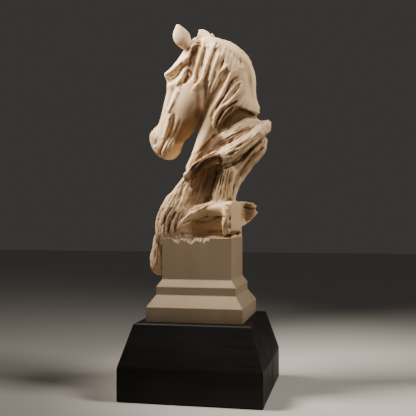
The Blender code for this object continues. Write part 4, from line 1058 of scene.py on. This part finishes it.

# %% Painted shade and stains
# Broad places painted darker than their depth alone would make them, partly stain and partly painted shade, as
# under the jaw, in the pocket under the mane and down the neck: places, width in pixels, share
SHADE_AND_STAIN_PATCHES = (
    (((198, 93), (198, 106), (196.5, 118)), 3.0, 0.56),
    (((194, 47), (192.5, 57), (190.8, 68), (187.5, 79)), 4.4, 0.56),
    (((203, 47), (201, 59), (198, 71), (195.5, 80)), 3.8, 0.26),
    (((214, 51), (211, 62), (208, 72), (205, 80)), 3.4, 0.34),
    (((221.5, 55), (217.5, 68), (213, 80), (208.5, 92)), 3.0, 0.26),
    (((217, 88), (211, 98), (206, 107)), 3.2, 0.38),
    (((199, 111), (192.5, 121), (185, 130), (177, 141)), 11.5, 0.60),
    (((181, 147), (173, 152), (166, 155.5)), 4.6, 0.26),
    (((214, 136), (219, 140), (224, 145)), 5.6, 0.86),
    (((219, 141), (210, 149), (202, 157), (193, 168)), 8.6, 0.96),
    (((217, 160), (207, 165), (198, 171), (191, 178)), 5.0, 0.75),
    (((219, 130), (223, 122), (231, 113), (240, 108)), 6.2, 0.54),
    (((236, 112), (245, 111.5), (253, 114.5)), 2.6, 0.50),
    (((241, 93), (237, 101), (232, 107)), 5.0, 0.22),
    (((216, 162), (207, 172), (200, 182), (194, 190)), 8.4, 0.20),
    (((196, 204), (203, 208), (210, 206)), 6.0, 0.26),
    (((186, 227), (200, 225), (219, 222)), 5.0, 0.26),
    (((246, 205), (249, 211), (247, 220)), 6.6, 0.82),
    (((251, 204.5), (246, 204.5)), 2.5, 0.40),
    (((262, 146), (252, 160), (242, 174)), 6.5, 0.32),
    (((233, 172), (231, 178), (229, 184)), 4.0, 0.28),
    (((164, 217), (168, 227), (170, 233)), 4.5, 0.32),
    (((267, 124), (268.5, 130)), 2.5, 0.26),
    (((265, 142), (262, 150)), 3.0, 0.34),
)
# Places kept lighter, where the painted shade and stain are partly left out: places, width in pixels, share of
# it that is left out
LIGHTENED_PLACES = (
    (((184, 63), (180, 71), (174, 78)), 3.6, 0.30),
    (((186.2, 57), (185.4, 66), (182.8, 76), (178, 86)), 2.6, 0.80),
    (((216, 48), (213.5, 58), (210.5, 69), (206.5, 80)), 4.4, 0.45),
    (((207, 46), (204.5, 57), (202, 68), (199.5, 77)), 3.6, 0.40),
    (((227.5, 65), (224.5, 72), (221, 80)), 3.6, 0.45),
    (((217, 162), (209, 172), (200, 183), (193, 194)), 10.0, 0.28),
    (((223, 127), (229, 119), (238, 113), (248, 112)), 6.0, 0.20),
    (((186, 226), (201, 225), (219, 222)), 9.0, 0.66),
    (((177, 96), (172, 106), (168, 118), (163.5, 132)), 3.6, 0.55),
    (((173.5, 111), (171, 121), (168, 132)), 3.4, 0.60),
    (((202, 80), (205, 84), (206, 88)), 3.4, 0.45),
    (((155, 246), (154, 258), (155, 270)), 6.0, 0.40),
    (((179, 151), (171, 155), (164, 157)), 4.6, 0.40),
    (((184, 206), (195, 201), (206, 196)), 6.0, 0.45),
    (((226, 209), (227, 220), (228, 231)), 2.8, 0.7),
    (((232, 94), (226, 101), (219, 106)), 3.0, 0.5),
    (((211, 210), (222, 206.5), (237, 206)), 4.6, 0.6),
    (((236, 211), (236.5, 229)), 4.4, 0.75),
    (((241, 125), (251, 121)), 4.2, 0.5),
    (((206, 120), (202.5, 136), (196.5, 150), (188.5, 166)), 3.0, 0.8),
    (((186, 96), (187, 106), (181, 118)), 7.5, 0.8),
    (((246, 66), (250, 82), (253, 100)), 7.0, 0.6),
)
# How fast the painted shade and stain fade beside a line, and the share of it that a raised line takes off
SHADE_AND_STAIN_SPREAD = 1.6
RIDGE_CLEARS = 0.8

# Each line sinks or raises the wood and paints shade and stain along it, each patch paints shade and stain,
# and each lightened place takes them out
shade_and_stain, lightened = np.zeros(len(points)), np.zeros(len(points))
for places, width, height, share in lines:
    near, strength = stroke(places, width)
    relief[near] += height * strength * seen[near]
    strength = strength * shown[near]
    shade_and_stain[near] = np.maximum(shade_and_stain[near], share * strength ** SHADE_AND_STAIN_SPREAD)
    if height > 0:
        shade_and_stain[near] *= 1.0 - RIDGE_CLEARS * strength
for places, width, share in SHADE_AND_STAIN_PATCHES:
    near, strength = stroke(places, width)
    shade_and_stain[near] += share * strength * shown[near] * (1.0 - shade_and_stain[near])
for places, width, share in LIGHTENED_PLACES:
    near, strength = stroke(places, width)
    lightened[near] = np.maximum(lightened[near], share * strength * shown[near])
# The rim of the torn edge is pale, fresh wood, kept free of the painted shade and stain: how high it reaches
# at three places, in millimetres
RIM_PLACES = (-36.0, -18.0, 27.0)
RIM_HEIGHTS = (3.6, 6.4, 6.4)
RIM_FADE = 1.4
RIM_DEPTH = 26.0
right, behind, above = ((points - (0.0, -half_block, BLOCK_TOP)) / MM).T
rim = np.clip((np.interp(right, RIM_PLACES, RIM_HEIGHTS) - above) / RIM_FADE, 0.0, 1.0)
rim *= np.clip(RIM_DEPTH - behind, 0.0, 1.0)
rim *= np.clip(right - RIM_PLACES[0], 0.0, 1.0) * np.clip(RIM_PLACES[-1] - right, 0.0, 1.0)
lightened = np.maximum(lightened, rim)
points = points + normals * (relief * MM)[:, None]
# Room kept inside the solid's box, in metres
EDGE_ROOM = 0.0002
points = np.clip(points, carved_low + EDGE_ROOM, carved_high - EDGE_ROOM)
mesh.vertices.foreach_set("co", points.ravel())
mesh.update()
print("carved between", points.min(axis=0).round(4), points.max(axis=0).round(4))

# %% [markdown]
# The hollows are painted orange-brown: partly the old oil and dust that gather in pale wood, partly painted
# shade where less light reaches. A point lies in a hollow when the mean of its neighbours lies in front of it.
# Repeating the mean looks further round, so fine cuts and deep folds are both found. The result is kept as an
# attribute that the material reads.

# %% Hollows
ends = np.empty(len(mesh.edges) * 2, dtype=np.int64)
mesh.edges.foreach_get("vertices", ends)
first, second = ends.reshape(-1, 2).T
degree = np.maximum(np.bincount(first, minlength=len(points)) + np.bincount(second, minlength=len(points)), 1)


def averaged(values, times):
    """Each point's value replaced by the mean of itself and its neighbours, several times over."""
    for _ in range(times):
        total = np.empty_like(values)
        for axis in range(values.shape[1]):
            column = values[:, axis]
            total[:, axis] = np.bincount(first, column[second], len(values))
            total[:, axis] += np.bincount(second, column[first], len(values))
        values = 0.5 * values + 0.5 * total / degree[:, None]
    return values


mesh.vertex_normals.foreach_get("vector", normals.ravel())

smooth, hollow = points, np.zeros(len(points))
# Polished wood takes less of the painted shade and dirt, a ridge counts against a hollow, and a hollow under
# painted shade and stain is darker still
POLISHED_DARKENING = 0.32
RIDGE_SHARE = -0.6
DOUBLY_DARKENED = 0.3
# Rounds of averaging, depth in millimetres that counts as full, share
for rounds, full, share in ((4, 0.14, 0.22), (16, 0.5, 0.38), (60, 1.6, 0.55)):
    smooth = averaged(smooth, rounds)
    deep = ((smooth - points) * normals).sum(axis=1) / MM
    hollow += share * np.clip(deep / full, RIDGE_SHARE, 1.0)
hollow *= np.where(cut < 0.5, POLISHED_DARKENING, 1.0)
hollow = np.clip(hollow, 0.0, 1.0)
hollow = (np.maximum(hollow, shade_and_stain) + DOUBLY_DARKENED * np.minimum(hollow, shade_and_stain)) * (1.0 - lightened)
hollow = averaged(np.clip(hollow, 0.0, 1.0)[:, None], 3)[:, 0]
layer = mesh.color_attributes.new("hollow", "FLOAT_COLOR", "POINT")
layer.data.foreach_set("color", np.repeat(hollow[:, None], 4, axis=1).ravel())
print("hollow mean", hollow.mean().round(3), "deepest share", (hollow > 0.8).mean().round(3))

# %% [markdown]
# The carved mesh is far finer than a reusable part should be. Decimate spends its triangles where the surface
# bends and saves them on the smooth cheek and crest.

# %% Thinning
MOST_TRIANGLES = 190000
mesh.calc_loop_triangles()
thin = carved.modifiers.new("thin", "DECIMATE")
thin.ratio = min(1.0, MOST_TRIANGLES / len(mesh.loop_triangles))
thin.use_collapse_triangulate = True
carved.data = baked(carved)
carved.modifiers.clear()
print("thinned", len(mesh.loop_triangles), "to", len(carved.data.polygons), "triangles")

# %% [markdown]
# The remesh that joined the head and the ears also left a few specks, each under a millimetre across. One
# lies outside the surface and the others are sealed in the wood. Faces that share an edge belong together,
# so going from face to face finds the connected parts. The largest is the carving, and the rest are deleted.

# %% Specks
def connected_parts(work):
    """The faces of a bmesh in groups that share edges, the largest group last."""
    left, parts = set(work.faces), []
    while left:
        waiting, part = [left.pop()], []
        while waiting:
            face = waiting.pop()
            part.append(face)
            beside = {other for edge in face.edges for other in edge.link_faces} & left
            left -= beside
            waiting.extend(beside)
        parts.append(part)
    return sorted(parts, key=len)


work = bmesh.new()
work.from_mesh(carved.data)
specks = [face for part in connected_parts(work)[:-1] for face in part]
bmesh.ops.delete(work, geom=specks, context="FACES")
work.to_mesh(carved.data)
work.free()
carved.data.shade_smooth()
print(len(specks), "faces of specks deleted,", len(carved.data.polygons), "triangles left")

# %% [markdown]
# The plinth was sawn and planed, so its faces are flat and its corners crisp. It is a square carried up a
# profile. The profile gives half the width at each height, with a narrow chamfer at each edge, because a
# perfectly sharp edge catches no light. The block's front top edge is broken away in a jagged line.

# %% Square profiles
def square_rings(profile, per_side):
    """Rings of a square: each side runs evenly between two corners, at each (half width, height) pair."""
    share = np.linspace(-1.0, 1.0, per_side, endpoint=False)
    one = np.ones(per_side)
    x = np.concatenate([share, one, -share, -one])
    y = np.concatenate([-one, share, one, -share])
    half, z = np.asarray(profile, float).T
    rings = np.empty((len(half), 4 * per_side, 3))
    rings[..., 0] = half[:, None] * x
    rings[..., 1] = half[:, None] * y
    rings[..., 2] = z[:, None]
    return rings


def denser(profile, step):
    """A profile with points added between its corners, no further apart than a step."""
    profile = np.asarray(profile, float)
    rows = [profile[:1]]
    for a, b in zip(profile[:-1], profile[1:]):
        count = max(1, int(np.ceil(np.linalg.norm(b - a) / step)))
        rows.append(a + (b - a) * np.linspace(0.0, 1.0, count + 1)[1:, None])
    return np.concatenate(rows)


def chamfered(corners, width):
    """A profile whose inner corners are each cut across, a width away from the corner on both sides."""
    corners = np.asarray(corners, float)
    rows = [corners[:1]]
    for before, corner, after in zip(corners[:-2], corners[1:-1], corners[2:]):
        back, ahead = unit_rows(np.array([before - corner, after - corner]))
        rows.append(np.array([corner + back * width, corner + ahead * width]))
    return np.concatenate(rows + [corners[-1:]])


print("profile helpers ready")

# %% The block and its plinth
EDGE_WEAR = 0.00035
PLANED_STEP = 0.0026
PER_SIDE = 120
# Half width of the small square at the middle of a flat end, which the pole closes
POLE = 0.0005
# The break on the front face: share of the block's width from its middle, millimetres over the block's top
BREAK_EDGE = (
    (-0.50, 0.8), (-0.38, 0.2), (-0.26, -5.6), (-0.22, -2.4), (-0.15, -3.2), (-0.075, -6.0), (-0.03, -2.2),
    (0.04, -3.0), (0.10, -4.4), (0.24, 0.6), (0.50, 0.8),
)
BREAK_SLOPE = math.tan(math.radians(34.0))
# Height in millimetres, noise steps to a metre across and deep, seed
SPLINTERS = ((1.1, 620.0, 60.0, 61), (0.7, 1500.0, 130.0, 62))
# Splinters die out where the break's edge rises to this height, in millimetres
SPLINTERS_END = 0.6

levels = np.cumsum([PLINTH_BOTTOM, FOOT_BAND_HEIGHT, FOOT_SLOPE_HEIGHT, FILLET_HEIGHT, NECK_SLOPE_HEIGHT,
                    BLOCK_HEIGHT])
corners = [(POLE, levels[0])]
corners += [(width / 2, z) for width, z in zip(
    (FOOT_WIDTH, FOOT_WIDTH, FILLET_WIDTH, FILLET_WIDTH, BLOCK_WIDTH, BLOCK_WIDTH), levels)]
corners += [(POLE, levels[-1])]
plinth_rings = square_rings(denser(chamfered(corners, EDGE_WEAR), PLANED_STEP), PER_SIDE)


def broken_height(x, y):
    """The height of the break: a jagged line on the front face, rising backwards at a steady slope."""
    line = np.array(BREAK_EDGE)
    edge = np.interp(x / BLOCK_WIDTH, line[:, 0], line[:, 1])
    deep = y + BLOCK_WIDTH / 2
    splinter = sum(high * value_noise(x * fine, deep * long, seed) for high, fine, long, seed in SPLINTERS)
    edge = edge + splinter * np.clip(SPLINTERS_END - edge, 0.0, 1.0)
    return BLOCK_TOP + edge * MM + deep * BREAK_SLOPE


top = np.minimum(BLOCK_TOP, broken_height(plinth_rings[..., 0], plinth_rings[..., 1]))
share = np.clip((plinth_rings[..., 2] - BLOCK_BOTTOM) / BLOCK_HEIGHT, 0.0, 1.0)
plinth_rings[..., 2] -= (BLOCK_TOP - top) * share
plinth_points, _, plinth_faces = skin(plinth_rings, np.zeros(plinth_rings.shape[:2] + (4,)))
block = add_object("block_and_plinth", mesh_from("block_and_plinth", plinth_points, plinth_faces))
print("plinth", len(plinth_points), "points")

# %% [markdown]
# The dark base is a simple shape: an upright band, then four slopes up to a flat top. Its edges are worn
# rounder than the plinth's.

# %% The base
BASE_EDGE_WEAR = 0.0011
BASE_STEP = 0.004
BASE_PER_SIDE = 40
corners = [(POLE, 0.0), (BASE_WIDTH / 2, 0.0), (BASE_WIDTH / 2, BASE_BAND_HEIGHT),
           (BASE_TOP_WIDTH / 2, BASE_HEIGHT), (POLE, BASE_HEIGHT)]
base_rings = square_rings(denser(chamfered(corners, BASE_EDGE_WEAR), BASE_STEP), BASE_PER_SIDE)
base_points, _, base_faces = skin(base_rings, np.zeros(base_rings.shape[:2] + (4,)))
base = add_object("dark_base_worn", mesh_from("dark_base_worn", base_points, base_faces))
print("base", len(base_points), "points")

# %% [markdown]
# Boxwood has a very close grain: pale cream, with faint darker lines that run up the block and small pores.
# The material mixes these from noise stretched along the height, and browns the hollows by their attribute,
# which holds both stain and painted shade. Fine hair lines come from a bump that follows the fibre numbers.
# Stained wood is more matt than polished wood, so the roughness follows the browning. The plinth's flat faces
# have darker creams than the carving, as painted shade.

# %% Material helpers
def new_material(name):
    """A material with its shader and its node and link makers."""
    material = bpy.data.materials.new(name)
    material.use_nodes = True
    tree = material.node_tree
    return material, tree, tree.nodes["Principled BSDF"]


def node(tree, kind, **settings):
    """A node of a kind, with its options and its sockets set by name."""
    made = tree.nodes.new(kind)
    for key, value in settings.items():
        if hasattr(made, key):
            setattr(made, key, value)
        else:
            made.inputs[key.replace("_", " ")].default_value = value
    return made


def stretched_noise(tree, source, scale, detail=4.0, roughness=0.55):
    """Noise on coordinates multiplied axis by axis, so that it runs longest where the scale is least."""
    place = node(tree, "ShaderNodeMapping")
    place.inputs["Scale"].default_value = scale
    tree.links.new(source, place.inputs["Vector"])
    made = node(tree, "ShaderNodeTexNoise", Scale=1.0, Detail=detail, Roughness=roughness)
    tree.links.new(place.outputs["Vector"], made.inputs["Vector"])
    return made.outputs["Fac"]


def ramp(tree, source, stops):
    """A colour ramp through (place, colour) stops."""
    made = node(tree, "ShaderNodeValToRGB")
    elements = made.color_ramp.elements
    while len(elements) < len(stops):
        elements.new(0.5)
    for element, (place, colour) in zip(elements, stops):
        element.position = place
        element.color = (*colour, 1.0)
    tree.links.new(source, made.inputs["Fac"])
    return made.outputs["Color"]


def mixed(tree, how, share, first_colour, second_colour):
    """Two colours mixed by a share, which is a number or an output."""
    made = node(tree, "ShaderNodeMix", data_type="RGBA", blend_type=how)
    sockets = (made.inputs[0], made.inputs[6], made.inputs[7])
    for value, socket in zip((share, first_colour, second_colour), sockets):
        if isinstance(value, bpy.types.NodeSocket):
            tree.links.new(value, socket)
        else:
            socket.default_value = value
    return made.outputs[2]


def bumped(tree, shader, heights):
    """Bumps laid over each other: (height output, strength, distance) each, the last on the shader."""
    normal = None
    for height, strength, reach in heights:
        made = node(tree, "ShaderNodeBump", Strength=strength, Distance=reach)
        tree.links.new(height, made.inputs["Height"])
        if normal:
            tree.links.new(normal, made.inputs["Normal"])
        normal = made.outputs["Normal"]
    tree.links.new(normal, shader.inputs["Normal"])


print("material helpers ready")

# %% Boxwood
CREAM = (0.74, 0.555, 0.352)
WARM_CREAM = (0.65, 0.455, 0.268)
# Painted shade: the plinth's flat faces take darker creams than the carving
SHADED_PLANED_CREAM = (0.37, 0.288, 0.20)
SHADED_PLANED_WARM = (0.325, 0.24, 0.155)
GRAIN_LINE = (0.46, 0.29, 0.155)
# Colours of the hollow share, from gold to dark brown: stain and painted shade together
HOLLOW_GOLD = (0.50, 0.325, 0.178)
HOLLOW_BROWN = (0.22, 0.128, 0.068)
HOLLOW_DARK = (0.095, 0.052, 0.028)
# How much of the wood's own colour stays in a grain line
GRAIN_FAINTNESS = 0.78
STREAKING = 0.8
POLISH_ROUGHNESS = 0.52
# Roughness where the hollows are painted with shade and stain
DARKENED_ROUGHNESS = 0.95
BOXWOOD_SPECULAR = 0.22


def counted(tree, how, first_value, second_value, third_value=0.0):
    """A sum, product or limit of numbers or outputs."""
    made = node(tree, "ShaderNodeMath", operation=how)
    for socket, value in zip(made.inputs, (first_value, second_value, third_value)):
        if isinstance(value, bpy.types.NodeSocket):
            tree.links.new(value, socket)
        else:
            socket.default_value = value
    return made.outputs[0]


def boxwood(name, carved_surface):
    """Cream wood with grain up its height; a carved surface has painted shade and stain in its hollows and
    hair lines as well.
    """
    warm, pale = (WARM_CREAM, CREAM) if carved_surface else (SHADED_PLANED_WARM, SHADED_PLANED_CREAM)
    material, tree, shader = new_material(name)
    place = node(tree, "ShaderNodeTexCoord").outputs["Object"]
    broad = stretched_noise(tree, place, (38.0, 38.0, 9.0), 3.0)
    colour = ramp(tree, broad, ((0.30, warm), (0.68, pale)))
    grain = stretched_noise(tree, place, (520.0, 520.0, 16.0), 5.0, 0.6)
    lines = ramp(tree, grain, ((0.36, (1, 1, 1)), (0.52, (0, 0, 0))))
    line_colour = mixed(tree, "MIX", GRAIN_FAINTNESS, (*GRAIN_LINE, 1.0), colour)
    colour = mixed(tree, "MIX", lines, colour, line_colour)
    pores = stretched_noise(tree, place, (1500.0, 1500.0, 210.0), 2.0)
    bumps = [(grain, 0.18, 0.0004), (pores, 0.12, 0.0002)]
    if carved_surface:
        run = node(tree, "ShaderNodeAttribute", attribute_name="fibre").outputs["Color"]
        parted = node(tree, "ShaderNodeSeparateColor")
        tree.links.new(run, parted.inputs["Color"])
        unpolished = counted(tree, "MINIMUM", parted.outputs["Blue"], 1.0)
        streaks = stretched_noise(tree, run, (1.5, 0.045, 0.0), 5.0, 0.62)
        streaks = counted(tree, "MULTIPLY", counted(tree, "SUBTRACT", streaks, 0.5), unpolished)
        hollow_share = node(tree, "ShaderNodeAttribute", attribute_name="hollow").outputs["Fac"]
        hollow_share = counted(tree, "MULTIPLY_ADD", streaks, STREAKING, hollow_share)
        gold = ramp(tree, hollow_share, ((0.08, (0, 0, 0)), (0.40, (1, 1, 1))))
        colour = mixed(tree, "MIX", gold, colour, (*HOLLOW_GOLD, 1.0))
        brown = ramp(tree, hollow_share, ((0.32, (0, 0, 0)), (0.72, (1, 1, 1))))
        colour = mixed(tree, "MIX", brown, colour, (*HOLLOW_BROWN, 1.0))
        dark = ramp(tree, hollow_share, ((0.62, (0, 0, 0)), (0.98, (1, 1, 1))))
        colour = mixed(tree, "MIX", dark, colour, (*HOLLOW_DARK, 1.0))
        hairs = stretched_noise(tree, run, (1.1, 0.05, 0.0), 4.0, 0.6)
        bumps.append((hairs, 0.35, 0.0006))
        matt = counted(tree, "MULTIPLY_ADD", gold, DARKENED_ROUGHNESS - POLISH_ROUGHNESS, POLISH_ROUGHNESS)
        tree.links.new(matt, shader.inputs["Roughness"])
    tree.links.new(colour, shader.inputs["Base Color"])
    shader.inputs["Roughness"].default_value = POLISH_ROUGHNESS
    shader.inputs["Specular IOR Level"].default_value = BOXWOOD_SPECULAR
    bumped(tree, shader, bumps)
    return material


carved.data.materials.clear()
carved.data.materials.append(boxwood("carved_boxwood", True))
block.data.materials.append(boxwood("planed_boxwood", False))
print("boxwood on", carved.name, "and", block.name)

# %% [markdown]
# The base is wood stained black. The stain lets a little of the grain through as brown-grey lines, and it is
# duller where it has been handled.

# %% Ebonised wood
EBONY = (0.0028, 0.0025, 0.0023)
EBONY_BROWN = (0.009, 0.0068, 0.0055)
FINE_GRAIN_SHARE = 0.35
EBONY_SPECULAR = 0.25
ebonised, tree, shader = new_material("ebonised_wood_finish")
place = node(tree, "ShaderNodeTexCoord").outputs["Object"]
figure = stretched_noise(tree, place, (9.0, 42.0, 190.0), 6.0, 0.6)
fine = stretched_noise(tree, place, (40.0, 300.0, 900.0), 4.0)
colour = ramp(tree, figure, ((0.38, EBONY), (0.72, EBONY_BROWN)))
fine_grain = ramp(tree, fine, ((0.3, (0.45, 0.45, 0.45)), (0.7, (1, 1, 1))))
colour = mixed(tree, "MULTIPLY", FINE_GRAIN_SHARE, colour, fine_grain)
tree.links.new(colour, shader.inputs["Base Color"])
patches = stretched_noise(tree, place, (24.0, 24.0, 24.0), 4.0)
worn = ramp(tree, patches, ((0.3, (0.46,) * 3), (0.7, (0.66,) * 3)))
tree.links.new(worn, shader.inputs["Roughness"])
shader.inputs["Specular IOR Level"].default_value = EBONY_SPECULAR
bumped(tree, shader, [(figure, 0.25, 0.0008), (fine, 0.15, 0.0003)])
base.data.materials.append(ebonised)
print("ebonised wood on", base.name)

# %% [markdown]
# A plain pale floor and a dim surround keep attention on the carving. The main light is a soft lamp high on
# the left. A second one on the right draws the crest of the mane and the right faces of the plinth. A wide,
# weak one on the camera's side fills the shadows.

# %% Floor and light
floor = add_object("floor", mesh_from("floor", np.array(
    [(-3.0, -3.0, 0.0), (3.0, -3.0, 0.0), (3.0, 3.0, 0.0), (-3.0, 3.0, 0.0)]), [[0, 1, 2, 3]]))
floor_paint, tree, shader = new_material("pale_floor")
shader.inputs["Base Color"].default_value = (0.66, 0.64, 0.61, 1.0)
shader.inputs["Roughness"].default_value = 0.7
floor.data.materials.append(floor_paint)


def lamp(name, azimuth, elevation, away, size, power, colour, height, spread):
    """A square soft lamp that faces the carving, at an angle round from the plinth's front and one up."""
    turn, rise = math.radians(azimuth), math.radians(elevation)
    way = Vector((math.sin(turn) * math.cos(rise), -math.cos(turn) * math.cos(rise), math.sin(rise)))
    reach = way * away
    data = bpy.data.lights.new(name, "AREA")
    data.size = size
    data.energy = power
    data.color = colour
    data.spread = math.radians(spread)
    made = bpy.data.objects.new(name, data)
    bpy.context.scene.collection.objects.link(made)
    turned = reach.to_track_quat("Z", "Y").to_matrix().to_4x4()
    made.matrix_world = Matrix.Translation(Vector((0.0, 0.0, height)) + reach) @ turned


# Name, degrees round and up, metres away, size, watts, colour, height that it is aimed at, spread in degrees
LAMPS = (
    ("main_light", -70.0, 45.0, 0.34, 0.14, 1.26, (1.0, 0.90, 0.79), 0.335, 70.0),
    ("right_light", 84.0, 40.0, 0.55, 0.20, 1.15, (1.0, 0.92, 0.83), 0.32, 95.0),
    ("soft_fill", -8.0, 14.0, 1.3, 0.7, 0.58, (1.0, 0.95, 0.90), 0.28, 180.0),
)
for values in LAMPS:
    lamp(*values)
surround = bpy.data.worlds.new("surround")
surround.use_nodes = True
surround.node_tree.nodes["Background"].inputs["Color"].default_value = (0.90, 0.85, 0.79, 1.0)
surround.node_tree.nodes["Background"].inputs["Strength"].default_value = 0.05
bpy.context.scene.world = surround
print(len(LAMPS), "lamps and the surround")

# %% [markdown]
# Each piece now takes the place of its solid and moves with the root body. The floor is only a stage.

# %% Handing over
for piece, solid, finish in (
    (carved, "carved_horse_and_plinth", "pale_boxwood"),
    (block, "carved_horse_and_plinth", "pale_boxwood"),
    (base, "dark_base", "ebonised_wood"),
):
    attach(piece, "root")
    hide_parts(solid)
